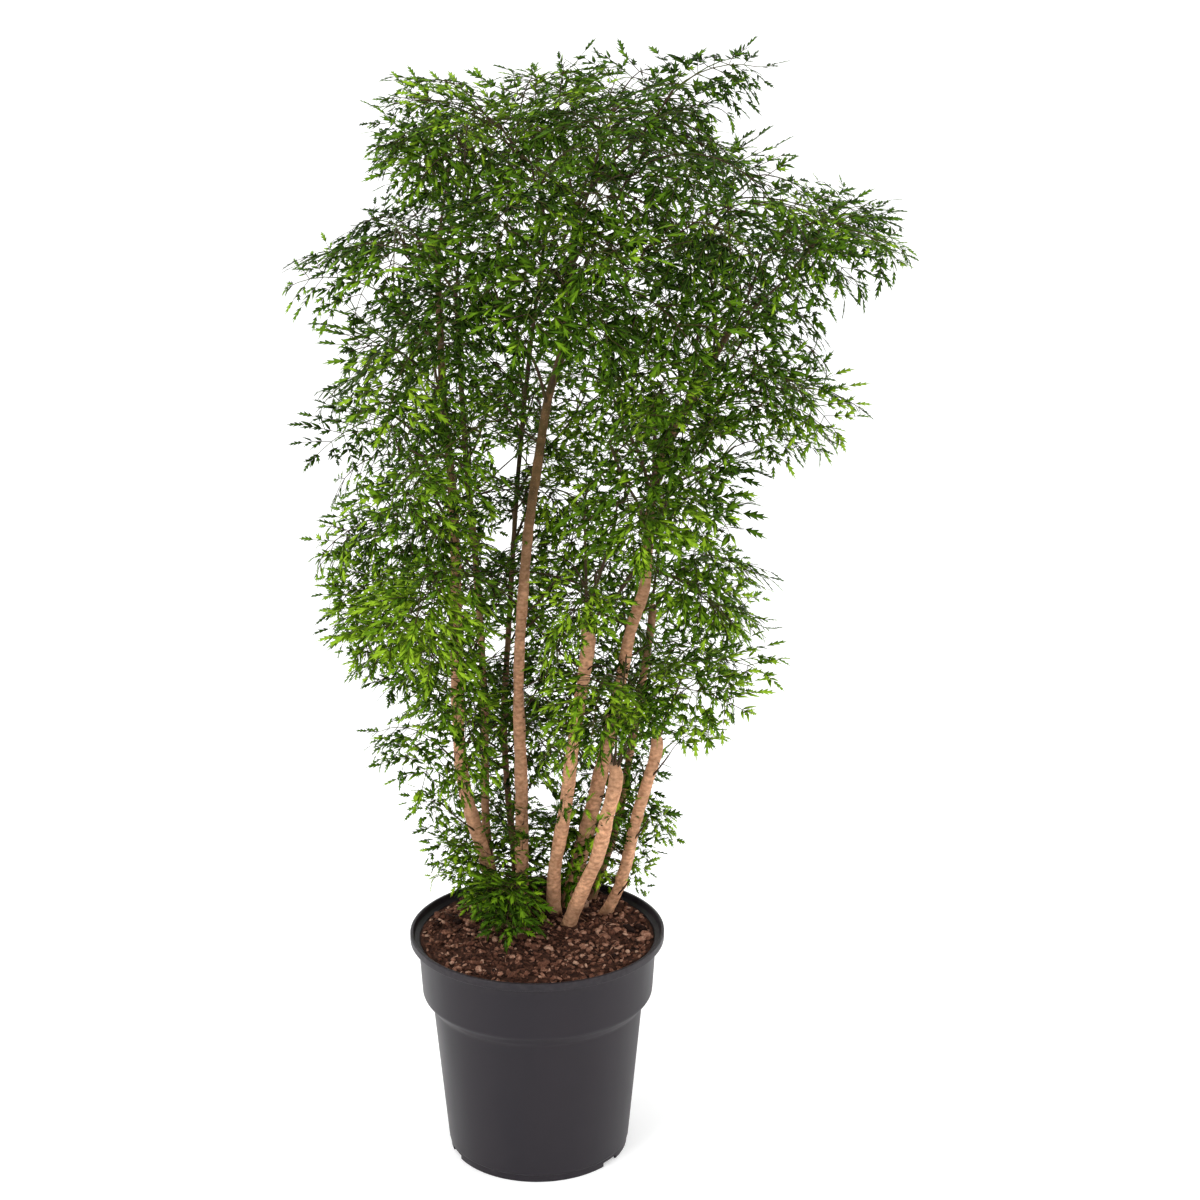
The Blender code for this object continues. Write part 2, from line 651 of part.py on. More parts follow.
def frond_checkpoints(frond):
    """Points all over a blade, for the tests of what it hides and where it reaches."""
    shares = [(along, 0.0) for along in RIB_CHECKS]
    for start, tip_along, tip_across in LEAFLET_PAIRS:
        for part in LEAFLET_CHECKS:
            along = start + (tip_along - start) * part
            shares += [(along, tip_across * part), (along, -tip_across * part)]
    return [frond.point(along, across) for along, across in shares]


def seen_on(point, depth):
    """Where the line of sight through a point meets the upright plane at a depth."""
    return EYE + (point - EYE) * ((depth - EYE.y) / (point.y - EYE.y))


def hides_trunk(point):
    """Whether a point stands before a stretch of trunk that stays in sight."""
    for stem in STEMS:
        for low, high in stem.bare:
            seen = seen_on(point, along_route(stem, (low + high) / 2)[0].y)
            trunk = along_route(stem, seen.z)[0]
            if point.y < trunk.y and low < seen.z < high and abs(seen.x - trunk.x) < SIGHT_HALF_WIDTH:
                return True
    return False


def in_outline(point):
    """Whether a point is seen inside the crown's outline and beside its gaps."""
    seen = seen_on(point, OUTLINE_Y)
    if any(math.hypot(seen.x - x, seen.z - z) < radius for x, z, radius in WINDOWS):
        return False
    inside = False
    for (x1, z1), (x2, z2) in zip(CROWN_OUTLINE, CROWN_OUTLINE[1:] + CROWN_OUTLINE[:1]):
        if (z1 > seen.z) != (z2 > seen.z) and seen.x < x1 + (x2 - x1) * (seen.z - z1) / (z2 - z1):
            inside = not inside
    return inside


def cells_filled(frond, pattern):
    """The cells that a blade fills, seen from the front, from a side and from above."""
    outline, triangles = pattern
    cells = set()
    for piece in triangles:
        corners = [outline[i] for i in piece]
        for i in range(CELL_STEPS + 1):
            for j in range(CELL_STEPS + 1 - i):
                shares = (i / CELL_STEPS, j / CELL_STEPS, 1.0 - (i + j) / CELL_STEPS)
                along = sum(share * corner[0] for share, corner in zip(shares, corners))
                across = sum(share * corner[1] for share, corner in zip(shares, corners))
                spot = frond.point(along, across)
                seen = seen_on(spot, OUTLINE_Y)
                cells.add(("front", math.floor(seen.x / CELL), math.floor(seen.z / CELL)))
                cells.add(("side", math.floor(spot.y / CELL), math.floor(spot.z / CELL)))
                cells.add(("top", math.floor(spot.x / CELL), math.floor(spot.y / CELL)))
    return cells


def weigh(cells):
    """How much a set of cells counts: those seen from the front more, the further out they are."""
    weight = 0.0
    for view, column, row in cells:
        if view == "front":
            reach = math.hypot(column * CELL - CROWN_MIDDLE.x, row * CELL - CROWN_MIDDLE.z)
            weight += 1.0 + REACH_WEIGHT * reach * reach
        else:
            weight += SIDE_WEIGHT if view == "side" else TOP_WEIGHT
    return weight


def propose_frond(shoot, order, attempt, draw):
    """A frond for a shoot: the first points away from the crown's middle, and the rest turn round it."""
    tip = shoot.points[-1]
    outward = tip - CROWN_MIDDLE
    loose = FROND_TURN_SPREAD + FROND_TURN_GAIN * attempt
    azimuth = math.atan2(outward.y, outward.x) + FROND_TURNS[order] + draw.uniform(-loose, loose)
    height_share = min(1.0, max(0.0, (tip.z - HIGH_FROND_Z) / HIGH_FROND_SPAN))
    pitch = FROND_PITCH + HIGH_FROND_PITCH * height_share + draw.uniform(-1.0, 1.0) * FROND_PITCH_SPREAD
    curl = FROND_CURL + draw.uniform(-1.0, 1.0) * FROND_CURL_SPREAD
    roll = FROND_ROLL * math.cos(azimuth) + draw.uniform(-1.0, 1.0) * FROND_ROLL_SPREAD
    length = FROND_LENGTH * (1.0 + draw.uniform(-1.0, 1.0) * FROND_LENGTH_SPREAD)
    length *= 1.0 - FROND_SHRINK * attempt
    if order > 0:
        length *= INNER_FROND_SHARE
    if tip.z < LOW_FROND_Z:
        length *= LOW_FROND_SHARE
    return Frond(shoot.back_from_tip(FROND_SETBACK + FROND_SPACING * order), azimuth, pitch, curl, roll, length)


def frond_fits(stem, frond, space, pattern):
    """Whether a frond crosses nothing and leaves the outline, the bare trunks and the gaps as seen."""
    if not all(in_outline(spot) and not hides_trunk(spot) for spot in frond_checkpoints(frond)):
        return False
    whole = slab(frond, pattern, CLEARANCE)
    if min(point.z for point in whole[0]) < LEAST_LEAF_Z:
        return False
    if not space.is_clear(*whole, lambda owner: owner != stem.name):
        return False
    blade = slab(frond, pattern, CLEARANCE, LEAFLET_PAIRS[0][0])
    return space.is_clear(*blade, lambda owner: owner == stem.name)


def choose_frond(shoot, order, space, filled, pattern, draw):
    """Of the fronds that fit a shoot, the one that fills the most empty room."""
    best, best_cells, best_weight, choices = None, set(), 0.0, 0
    for attempt in range(FROND_TRIES):
        frond = propose_frond(shoot, order, attempt, draw)
        if frond_fits(shoot.stem, frond, space, pattern):
            cells = cells_filled(frond, pattern)
            weight = weigh(cells - filled)
            if weight > best_weight:
                best, best_cells, best_weight = frond, cells, weight
            choices += 1
        if choices == FROND_CHOICES:
            break
    filled.update(best_cells)
    return best


def grow_fronds(shoots, space, pattern, draw):
    """Set fronds on every shoot, clear of all that is placed; give back each with its stem."""
    fronds = []
    filled = set()
    for order in range(math.ceil(FRONDS_PER_SHOOT)):
        share = min(1.0, FRONDS_PER_SHOOT - order)
        for number, shoot in enumerate(shoots):
            if math.floor((number + 1) * share) == math.floor(number * share):
                continue
            frond = choose_frond(shoot, order, space, filled, pattern, draw)
            if frond:
                space.add(shoot.stem.name, *slab(frond, pattern, FROND_THICKNESS / 2))
                fronds.append((shoot.stem, frond))
    return fronds


def frond_sheet(frond, pattern, collection):
    """The frond's arched sheet, thickened with a Solidify modifier."""
    outline, triangles = pattern
    mesh = bpy.data.meshes.new("frond")
    mesh.from_pydata([frond.point(along, across) for along, across in outline], [], triangles)
    sheet = new_object("frond", mesh, collection)
    skin = sheet.modifiers.new("thickness", "SOLIDIFY")
    skin.thickness = FROND_THICKNESS
    skin.offset = 0.0
    return sheet


def make_plant(stem, shoots, fronds, pattern, parts):
    """Fuse a stem's wood and fronds to one solid with a Boolean union on a collection."""
    lines = [trunk_line(stem)] + [(shoot.points, shoot.radii) for shoot in shoots]
    sides = [TRUNK_SIDES] + [SHOOT_SIDES] * len(shoots)
    wood = bar_meshes([bar_curve("bar", points, radii, count) for (points, radii), count in zip(lines, sides)])
    pieces = new_collection("union_pieces")
    for mesh in wood[1:]:
        new_object("shoot", mesh, pieces)
    for frond in fronds:
        frond_sheet(frond, pattern, pieces)
    plant = new_object(stem.name, wood[0], parts)
    union = plant.modifiers.new("union", "BOOLEAN")
    union.operation = "UNION"
    union.operand_type = "COLLECTION"
    union.collection = pieces
    whole = carried_out([plant])[0]
    plant.modifiers.remove(union)
    plant.data = whole
    whole.name = stem.name
    whole.materials.clear()
    whole.materials.append(new_finish(f"{stem.name}_green", (0.030, 0.110, 0.018), 0.55))
    for piece in list(pieces.objects):
        bpy.data.objects.remove(piece, do_unlink=True)
    bpy.data.collections.remove(pieces)


def main():
    """Model the pot, the soil and the leafy stems."""
    clear_scene()
    parts = new_collection(OBJECT_NAME)
    pot = turned("pot", pot_profile(), parts)
    pot.data.materials.append(new_finish("pot_plastic", (0.042, 0.036, 0.046), 0.42))
    soil = new_object("soil", soil_mesh(random.Random(SEED)), parts)
    soil.data.materials.append(new_finish("potting_mix", (0.070, 0.036, 0.018), 0.95))

    space = Space()
    for stem in STEMS:
        space.add(stem.name, *square_bar(*trunk_line(stem)))
    pattern = blade_pattern()
    shoots = grow_shoots(space, random.Random(SEED + 1))
    fronds = grow_fronds(shoots, space, pattern, random.Random(SEED + 2))

    for stem in STEMS:
        own_shoots = [shoot for shoot in shoots if shoot.stem is stem]
        own_fronds = [frond for owner, frond in fronds if owner is stem]
        make_plant(stem, own_shoots, own_fronds, pattern, parts)
    cut_with(pot, pot_cutters())
    cut_with(soil, soil_cutters())


main()
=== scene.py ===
"""Looks of the potted ming aralia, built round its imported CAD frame.

The camera stands where the photograph was taken from. The pot, the soil and every leafy stem are
finer pieces that keep the form of their CAD solids: the same rules lay the same shoots and fronds,
and each frond is then cut into pinnae and leaflets. Twigs and small low sprigs fill the crown out.
"""

import logging
import math
import random
from dataclasses import dataclass, field
from enum import Enum

import bmesh
import bpy
import numpy as np
from mathutils import Euler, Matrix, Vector, noise
from mathutils.bvhtree import BVHTree
from mathutils.geometry import intersect_point_line


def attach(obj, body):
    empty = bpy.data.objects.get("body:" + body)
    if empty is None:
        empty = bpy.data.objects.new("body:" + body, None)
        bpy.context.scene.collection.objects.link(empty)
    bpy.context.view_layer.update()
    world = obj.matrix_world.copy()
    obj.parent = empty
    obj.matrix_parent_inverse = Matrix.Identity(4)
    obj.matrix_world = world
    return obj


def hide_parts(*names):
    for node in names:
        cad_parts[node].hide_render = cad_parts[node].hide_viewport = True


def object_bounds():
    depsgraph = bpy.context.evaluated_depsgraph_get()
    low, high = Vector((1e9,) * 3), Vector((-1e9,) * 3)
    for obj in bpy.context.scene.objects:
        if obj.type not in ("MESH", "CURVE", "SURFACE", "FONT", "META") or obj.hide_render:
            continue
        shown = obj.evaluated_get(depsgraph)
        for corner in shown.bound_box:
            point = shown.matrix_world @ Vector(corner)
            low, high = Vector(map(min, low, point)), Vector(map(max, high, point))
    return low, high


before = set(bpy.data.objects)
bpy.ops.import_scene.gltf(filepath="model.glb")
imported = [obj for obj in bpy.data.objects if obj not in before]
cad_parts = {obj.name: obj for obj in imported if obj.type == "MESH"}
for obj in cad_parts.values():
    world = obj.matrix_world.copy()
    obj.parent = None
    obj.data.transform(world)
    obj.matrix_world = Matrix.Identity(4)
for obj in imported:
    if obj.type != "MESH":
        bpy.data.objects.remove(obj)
CAD_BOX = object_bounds()

log = logging.getLogger("ming_aralia")

SEED = 41
BODY = "root"


# Plans of the plant, shared with its CAD source

@dataclass(frozen=True)
class StemPlan:
    """One woody stem: its route up from the soil, its radii, and the tips of its shoots.

    Nothing hides its trunk between the bare heights, and no twig or sprig between the clear ones.
    """

    name: str
    route: tuple
    low_radius: float
    top_radius: float
    shoot_tips: tuple
    bare: tuple = ()
    clear: tuple = ()
    cut_top: bool = False
    slimness: float = 0.93
    # Painted shade: below 1, it caps how old the trunk's bark looks, so stems in shade get darker bark.
    shaded_bark_age: float = 1.0
    buried_depth: float = 0.050

    def buried_end(self) -> Vector:
        """The stem's lowest point, in line with its heading at the soil."""
        start = Vector(self.route[0])
        return start - (Vector(self.route[1]) - start).normalized() * self.buried_depth

    def radius_at(self, height: float) -> float:
        """Stem radius at a height: even up to the second point of the route, then an even taper.

        Args:
            height: Height in metres.

        Returns:
            The radius in metres.
        """
        start = self.route[1][2]
        share = max(0.0, (height - start) / (self.route[-1][2] - start))
        return self.low_radius + (self.top_radius - self.low_radius) * share

    def along(self, height: float) -> tuple[Vector, Vector, float]:
        """Point, heading and radius of the stem at a height.

        Args:
            height: Height in metres, held to the route's own span.

        Returns:
            The point, the unit heading and the radius there.
        """
        route = [Vector(point) for point in self.route]
        height = min(max(height, route[0].z), route[-1].z)
        span = next(i for i in range(1, len(route)) if height <= route[i].z)
        low, high = route[span - 1], route[span]
        place = low.lerp(high, (height - low.z) / (high.z - low.z))
        return place, (high - low).normalized(), self.radius_at(height)

    def trunk_line(self) -> tuple[list, list]:
        """The stem's own wood, from its buried end to its top.

        Returns:
            Its points and their radii.
        """
        points = [self.buried_end()] + [Vector(point) for point in self.route[1:]]
        return points, [self.radius_at(point.z) for point in points]


@dataclass(frozen=True)
class Shoot:
    """One thin branch with the stem that it grows from."""

    stem: StemPlan
    points: tuple
    radii: tuple

    def back_from_tip(self, distance: float) -> Vector:
        """Point on the shoot's axis, at a distance from its tip.

        Args:
            distance: Distance along the axis, in metres.

        Returns:
            The point, or the shoot's foot where the shoot is shorter.
        """
        for high, low in zip(self.points[::-1], self.points[-2::-1]):
            span = (low - high).length
            if distance <= span:
                return high.lerp(low, distance / span)
            distance -= span
        return self.points[0]


@dataclass(frozen=True)
class Frond:
    """One frond: where it leaves its shoot and how its blade arches."""

    root: Vector
    azimuth: float
    pitch: float
    curl: float
    roll: float
    length: float
    droop: float = 0.45

    def point(self, along: float, across: float, out: float = 0.0) -> Vector:
        """Point of the arched blade.

        Args:
            along: Share of the length along the rib.
            across: Share of the length across the rib.
            out: Distance off the blade's face, in metres.

        Returns:
            The point in the row frame.
        """
        heading = heading_at(self.azimuth)
        flat_side = Vector((-heading.y, heading.x, 0.0))
        angle = self.pitch - self.curl * along
        run = self.length * (math.sin(self.pitch) - math.sin(angle)) / self.curl
        rise = self.length * (math.cos(angle) - math.cos(self.pitch)) / self.curl
        flat_face = Vector((0.0, 0.0, math.cos(angle))) - heading * math.sin(angle)
        side = flat_side * math.cos(self.roll) + flat_face * math.sin(self.roll)
        face = flat_face * math.cos(self.roll) - flat_side * math.sin(self.roll)
        rib = self.root + heading * run + Vector((0.0, 0.0, rise))
        droop = self.droop * across * across * self.length
        return rib + side * (across * self.length) + face * (out - droop)

    def face(self, along: float) -> Vector:
        """Unit normal of the blade at a share of the length along its rib."""
        return (self.point(along, 0.0, 1.0) - self.point(along, 0.0)).normalized()


def heading_at(azimuth: float) -> Vector:
    """Level unit vector at an azimuth."""
    return Vector((math.cos(azimuth), math.sin(azimuth), 0.0))


def box_of(points: list) -> tuple[tuple, tuple]:
    """Lowest and highest corner of a list of points."""
    return tuple(tuple(pick(point[k] for point in points) for k in range(3)) for pick in (min, max))


def bezier(first: Vector, second: Vector, third: Vector, fourth: Vector, share: float) -> Vector:
    """Point at a share of a cubic Bezier curve."""
    rest = 1.0 - share
    return first * rest**3 + second * 3 * share * rest**2 + third * 3 * share**2 * rest + fourth * share**3


def square_bar(points: tuple, radii: tuple, margin: float = 0.0) -> tuple[list, list]:
    """A square bar that holds a round one, for the tests of clearance.

    Args:
        points: Points of the axis.
        radii: Radius at each point.
        margin: Room to add all round, in metres.

    Returns:
        The bar's vertices and faces.
    """
    vertices = []
    for i, (place, radius) in enumerate(zip(points, radii)):
        heading = points[min(i + 1, len(points) - 1)] - points[max(i - 1, 0)]
        side = heading.orthogonal().normalized() * (radius + margin)
        other = heading.cross(side).normalized() * (radius + margin)
        vertices += [place + side + other, place - side + other, place - side - other, place + side - other]
    faces = [(0, 1, 2, 3), tuple(len(vertices) - k for k in (1, 2, 3, 4))]
    for start in range(0, len(vertices) - 4, 4):
        for k in range(4):
            faces.append((start + k, start + (k + 1) % 4, start + 4 + (k + 1) % 4, start + 4 + k))
    return vertices, faces


class Space:
    """The solids placed so far, each with the name of the stem that it belongs to."""

    def __init__(self) -> None:
        """Start with no solids."""
        self.solids = []

    def add(self, owner: str, vertices: list, faces: list) -> None:
        """Note a placed solid: its owner's name, its vertices and its faces."""
        self.solids.append((owner, box_of(vertices), BVHTree.FromPolygons(vertices, faces)))

    def is_clear(self, vertices: list, faces: list, counts: object) -> bool:
        """Whether a shape crosses none of the solids whose owner counts.

        Args:
            vertices: The shape's vertices.
            faces: The shape's faces.
            counts: Function of an owner's name that says whether its solids count.

        Returns:
            True where nothing is crossed.
        """
        low, high = box_of(vertices)
        tree = BVHTree.FromPolygons(vertices, faces)
        for owner, (other_low, other_high), other in self.solids:
            apart = any(low[k] > other_high[k] or high[k] < other_low[k] for k in range(3))
            if counts(owner) and not apart and tree.overlap(other):
                return False
        return True


@dataclass(frozen=True)
class ShootRules:
    """How shoots leave their stem and bend out to their tips."""

    tip_radius: float = 0.0023
    thickening: float = 0.009
    share_of_stem: float = 0.75
    slope: float = 0.95
    least_rise: float = 0.045
    setback: float = 0.010
    least_height: float = 0.015
    tries: int = 60
    swerve: float = 0.0015
    knee: float = 0.35
    knee_rise: float = 0.45
    neck: float = 0.30
    neck_lean: float = 0.60
    neck_rise: float = 0.50
    span_length: float = 0.045
    spans: tuple = (2, 3)
    clearance: float = 0.0016

    def lay(self, stem: StemPlan, tip: Vector, swerve: Vector) -> Shoot:
        """A shoot that leaves its stem upwards and bends out to its tip.

        Args:
            stem: The stem that carries it.
            tip: Where the shoot ends.
            swerve: How far its middle is pushed aside.

        Returns:
            The shoot.
        """
        reach = (tip - stem.along(tip.z)[0]).to_2d().length
        low_height = tip.z - max(self.least_rise, self.slope * reach)
        low_height = max(low_height, stem.route[0][2] + self.least_height)
        low_height = min(low_height, stem.route[-1][2] - self.setback)
        start, heading, stem_radius = stem.along(low_height)
        span = (tip - start).length
        outward = (tip - start) / span
        rise = heading.lerp(outward, 1.0 - self.knee_rise)
        knee = start + rise * (span * self.knee) + swerve
        lean = outward * self.neck_lean + Vector((0.0, 0.0, self.neck_rise))
        neck = tip - lean * (span * self.neck) + swerve
        steps = min(self.spans[1], max(self.spans[0], round(span / self.span_length)))
        thick = max(self.tip_radius, min(self.tip_radius + self.thickening * span,
                                         stem_radius * self.share_of_stem))
        points = tuple(bezier(start, knee, neck, tip, step / steps) for step in range(steps + 1))
        radii = tuple(thick + (self.tip_radius - thick) * step / steps for step in range(steps + 1))
        return Shoot(stem, points, radii)

    def grow(self, stems: tuple, space: Space, draw: random.Random) -> list[Shoot]:
        """Lay every shoot clear of the other stems' wood.

        Args:
            stems: The stem plans.
            space: The solids placed so far, to which the shoots are added.
            draw: Source of random numbers.

        Returns:
            The shoots in order.
        """
        shoots = []
        for stem in stems:
            for tip in stem.shoot_tips:
                for attempt in range(self.tries):
                    sway = self.swerve * attempt
                    swerve = Vector((draw.uniform(-sway, sway), draw.uniform(-sway, sway), 0.0))
                    shoot = self.lay(stem, Vector(tip), swerve)
                    fat = square_bar(shoot.points, shoot.radii, self.clearance)
                    if space.is_clear(*fat, lambda owner, mine=stem.name: owner != mine):
                        space.add(stem.name, *square_bar(shoot.points, shoot.radii))
                        shoots.append(shoot)
                        break
        return shoots


@dataclass(frozen=True)
class Silhouette:
    """The crown's outline from the front, its gaps and thin spots, and the trunks that stay in sight."""

    stems: tuple
    outline: tuple
    windows: tuple
    sparse: tuple
    eye: Vector
    depth: float = 0.05
    half_width: float = 0.016

    def seen(self, point: Vector, depth: float) -> Vector:
        """Where the line of sight through a point meets the upright plane at a depth."""
        return self.eye + (point - self.eye) * ((depth - self.eye.y) / (point.y - self.eye.y))

    def cells_of(self, point: Vector, size: float) -> list[tuple]:
        """The cells that a point lies in, seen from the front, from a side and from above.

        Args:
            point: The point.
            size: Side of a cell, in metres.

        Returns:
            Triples of view, column and row.
        """
        seen = self.seen(point, self.depth)
        views = (("front", seen.x, seen.z), ("side", point.y, point.z), ("top", point.x, point.y))
        return [(view, math.floor(across / size), math.floor(up / size)) for view, across, up in views]

    def inset(self, x: float, z: float) -> float:
        """How far a place in the outline's plane lies from the outline.

        Args:
            x: Distance to the right, in metres.
            z: Height in metres.

        Returns:
            The distance in metres.
        """
        place = Vector((x, z))
        least = 1.0
        for start, end in zip(self.outline, self.outline[1:] + self.outline[:1]):
            share = intersect_point_line(place, start, end)[1]
            near = Vector(start).lerp(Vector(end), min(1.0, max(0.0, share)))
            least = min(least, (place - near).length)
        return least

    def hides_trunk(self, point: Vector, fine: bool = False, names: tuple = ()) -> bool:
        """Whether a point stands before a stretch of trunk that stays in sight.

        Args:
            point: The point.
            fine: Whether the stretches that only twigs and sprigs keep clear count too.
            names: The stems looked at, or none for all of them.

        Returns:
            True where it would hide the trunk.
        """
        for stem in self.stems:
            if names and stem.name not in names:
                continue
            for low, high in stem.bare + stem.clear if fine else stem.bare:
                seen = self.seen(point, stem.along((low + high) / 2)[0].y)
                trunk = stem.along(seen.z)[0]
                if point.y < trunk.y and low < seen.z < high and abs(seen.x - trunk.x) < self.half_width:
                    return True
        return False

    def is_in(self, point: Vector, spots: tuple) -> bool:
        """Whether a point is seen in one of some round spots."""
        seen = self.seen(point, self.depth)
        return any(math.hypot(seen.x - x, seen.z - z) < radius for x, z, radius in spots)

    def holds(self, point: Vector) -> bool:
        """Whether a point is seen inside the crown's outline and beside its windows.

        Args:
            point: The point.

        Returns:
            True where it is.
        """
        if self.is_in(point, self.windows):
            return False
        seen = self.seen(point, self.depth)
        inside = False
        for (x1, z1), (x2, z2) in zip(self.outline, self.outline[1:] + self.outline[:1]):
            if (z1 > seen.z) != (z2 > seen.z) and seen.x < x1 + (x2 - x1) * (seen.z - z1) / (z2 - z1):
                inside = not inside
        return inside


@dataclass(frozen=True)
class FrondRules:
    """How fronds are proposed, tested and chosen."""

    length: float = 0.160
    inner_share: float = 1.12
    length_spread: float = 0.10
    thickness: float = 0.0009
    tries: int = 150
    choices: int = 12
    shrink: float = 0.0045
    setback: float = 0.004
    spacing: float = 0.020
    per_shoot: float = 1.85
    turns: tuple = (0.0, 1.25, -1.25, 2.6)
    turn_spread: float = 0.40
    turn_gain: float = 0.012
    pitch: float = 0.40
    pitch_spread: float = 0.50
    curl: float = 1.00
    curl_spread: float = 0.40
    roll: float = 0.35
    roll_spread: float = 0.60
    rib_half_width: float = 0.009
    leaflet_pairs: tuple = ((0.26, 0.47, 0.40), (0.46, 0.70, 0.35), (0.66, 0.88, 0.24))
    notches: tuple = ((0.46, 0.080), (0.66, 0.070), (0.84, 0.050))
    clearance: float = 0.0016
    least_leaf_z: float = 0.302
    low_z: float = 0.44
    low_share: float = 0.62
    high_z: float = 1.20
    high_span: float = 0.10
    high_pitch: float = 0.45
    middle: Vector = field(default_factory=lambda: Vector((0.03, 0.06, 0.85)))
    rib_checks: tuple = (0.40, 0.55, 0.70, 0.85, 1.00)
    leaflet_checks: tuple = (0.35, 0.70, 1.00)
    cell: float = 0.012
    cell_steps: int = 5
    side_weight: float = 0.5
    top_weight: float = 0.3
    reach_weight: float = 9.0

    def pattern(self) -> tuple[list, list]:
        """The blade's flat outline, with notches between its leaflets, and the triangles that fill it.

        Returns:
            Pairs of share along and across, and triples of their numbers.
        """
        right = [(0.0, self.rib_half_width), (self.leaflet_pairs[0][0], self.rib_half_width)]
        for (_, tip_along, tip_across), notch in zip(self.leaflet_pairs, self.notches):
            right += [(tip_along, tip_across), notch]
        outline = right + [(1.0, 0.0)] + [(along, -across) for along, across in reversed(right)]
        work = bmesh.new()
        face = work.faces.new([work.verts.new((along, across, 0.0)) for along, across in outline])
        bmesh.ops.triangulate(work, faces=[face])
        work.verts.index_update()
        triangles = [tuple(corner.index for corner in piece.verts) for piece in work.faces]
        work.free()
        return outline, triangles

    def slab(self, frond: Frond, pattern: tuple, half_thickness: float,
             least_along: float = 0.0) -> tuple[list, list]:
        """A frond with thickness, from a share of its length on.

        Args:
            frond: The frond.
            pattern: The blade's outline and triangles.
            half_thickness: Half the thickness, in metres.
            least_along: Share of the length where the slab starts.

        Returns:
            The slab's vertices and faces.
        """
        outline, triangles = pattern
        count = len(outline)
        top = [frond.point(along, across, half_thickness) for along, across in outline]
        low = [frond.point(along, across, -half_thickness) for along, across in outline]
        faces = []
        for piece in triangles:
            if min(outline[i][0] for i in piece) < least_along:
                continue
            faces += [piece, tuple(i + count for i in reversed(piece))]
            faces += [(a, b, b + count, a + count) for a, b in zip(piece, piece[1:] + piece[:1])]
        return top + low, faces

    def checkpoints(self, frond: Frond) -> list[Vector]:
        """Points all over a blade, for the tests of what it hides and where it reaches.

        Args:
            frond: The frond.

        Returns:
            The points.
        """
        shares = [(along, 0.0) for along in self.rib_checks]
        for start, tip_along, tip_across in self.leaflet_pairs:
            for part in self.leaflet_checks:
                along = start + (tip_along - start) * part
                shares += [(along, tip_across * part), (along, -tip_across * part)]
        return [frond.point(along, across) for along, across in shares]

    def cells_filled(self, frond: Frond, pattern: tuple, sight: Silhouette) -> set:
        """The cells that a blade fills.

        Args:
            frond: The frond.
            pattern: The blade's outline and triangles.
            sight: What is seen from the front.

        Returns:
            Triples of view, column and row.
        """
        outline, triangles = pattern
        steps = self.cell_steps
        cells = set()
        for piece in triangles:
            corners = [outline[i] for i in piece]
            for i in range(steps + 1):
                for j in range(steps + 1 - i):
                    shares = (i / steps, j / steps, 1.0 - (i + j) / steps)
                    along, across = (sum(share * corner[k] for share, corner in zip(shares, corners))
                                     for k in range(2))
                    cells.update(sight.cells_of(frond.point(along, across), self.cell))
        return cells

    def weigh(self, cells: set) -> float:
        """How much a set of cells counts: those seen from the front more, the further out they are.

        Args:
            cells: Triples of view, column and row.

        Returns:
            The weight.
        """
        weights = []
        for view, column, row in cells:
            if view == "front":
                reach = math.hypot(column * self.cell - self.middle.x, row * self.cell - self.middle.z)
                weights.append(1.0 + self.reach_weight * reach * reach)
            else:
                weights.append(self.side_weight if view == "side" else self.top_weight)
        return math.fsum(weights)

    def propose(self, shoot: Shoot, order: int, attempt: int, draw: random.Random) -> Frond:
        """A frond for a shoot: the first points away from the crown's middle, and the rest turn round it.

        Args:
            shoot: The shoot that carries the frond.
            order: Which of the shoot's fronds it is.
            attempt: How many have been proposed before it.
            draw: Source of random numbers.

        Returns:
            The proposed frond.
        """
        tip = shoot.points[-1]
        outward = tip - self.middle
        loose = self.turn_spread + self.turn_gain * attempt
        azimuth = math.atan2(outward.y, outward.x) + self.turns[order] + draw.uniform(-loose, loose)
        height_share = min(1.0, max(0.0, (tip.z - self.high_z) / self.high_span))
        pitch = self.pitch + self.high_pitch * height_share + draw.uniform(-1.0, 1.0) * self.pitch_spread
        curl = self.curl + draw.uniform(-1.0, 1.0) * self.curl_spread
        roll = self.roll * math.cos(azimuth) + draw.uniform(-1.0, 1.0) * self.roll_spread
        length = self.length * (1.0 + draw.uniform(-1.0, 1.0) * self.length_spread)
        length *= 1.0 - self.shrink * attempt
        if order > 0:
            length *= self.inner_share
        if tip.z < self.low_z:
            length *= self.low_share
        root = shoot.back_from_tip(self.setback + self.spacing * order)
        return Frond(root, azimuth, pitch, curl, roll, length)

    def fits(self, stem: StemPlan, frond: Frond, space: Space, pattern: tuple, sight: Silhouette) -> bool:
        """Whether a frond crosses nothing and leaves the outline, the bare trunks and the gaps as seen.

        Args:
            stem: The stem that carries the frond.
            frond: The frond.
            space: The solids placed so far.
            pattern: The blade's outline and triangles.
            sight: What is seen from the front.

        Returns:
            True where it fits.
        """
        if not all(sight.holds(spot) and not sight.hides_trunk(spot) for spot in self.checkpoints(frond)):
            return False
        whole = self.slab(frond, pattern, self.clearance)
        if min(point.z for point in whole[0]) < self.least_leaf_z:
            return False
        if not space.is_clear(*whole, lambda owner: owner != stem.name):
            return False
        blade = self.slab(frond, pattern, self.clearance, self.leaflet_pairs[0][0])
        return space.is_clear(*blade, lambda owner: owner == stem.name)

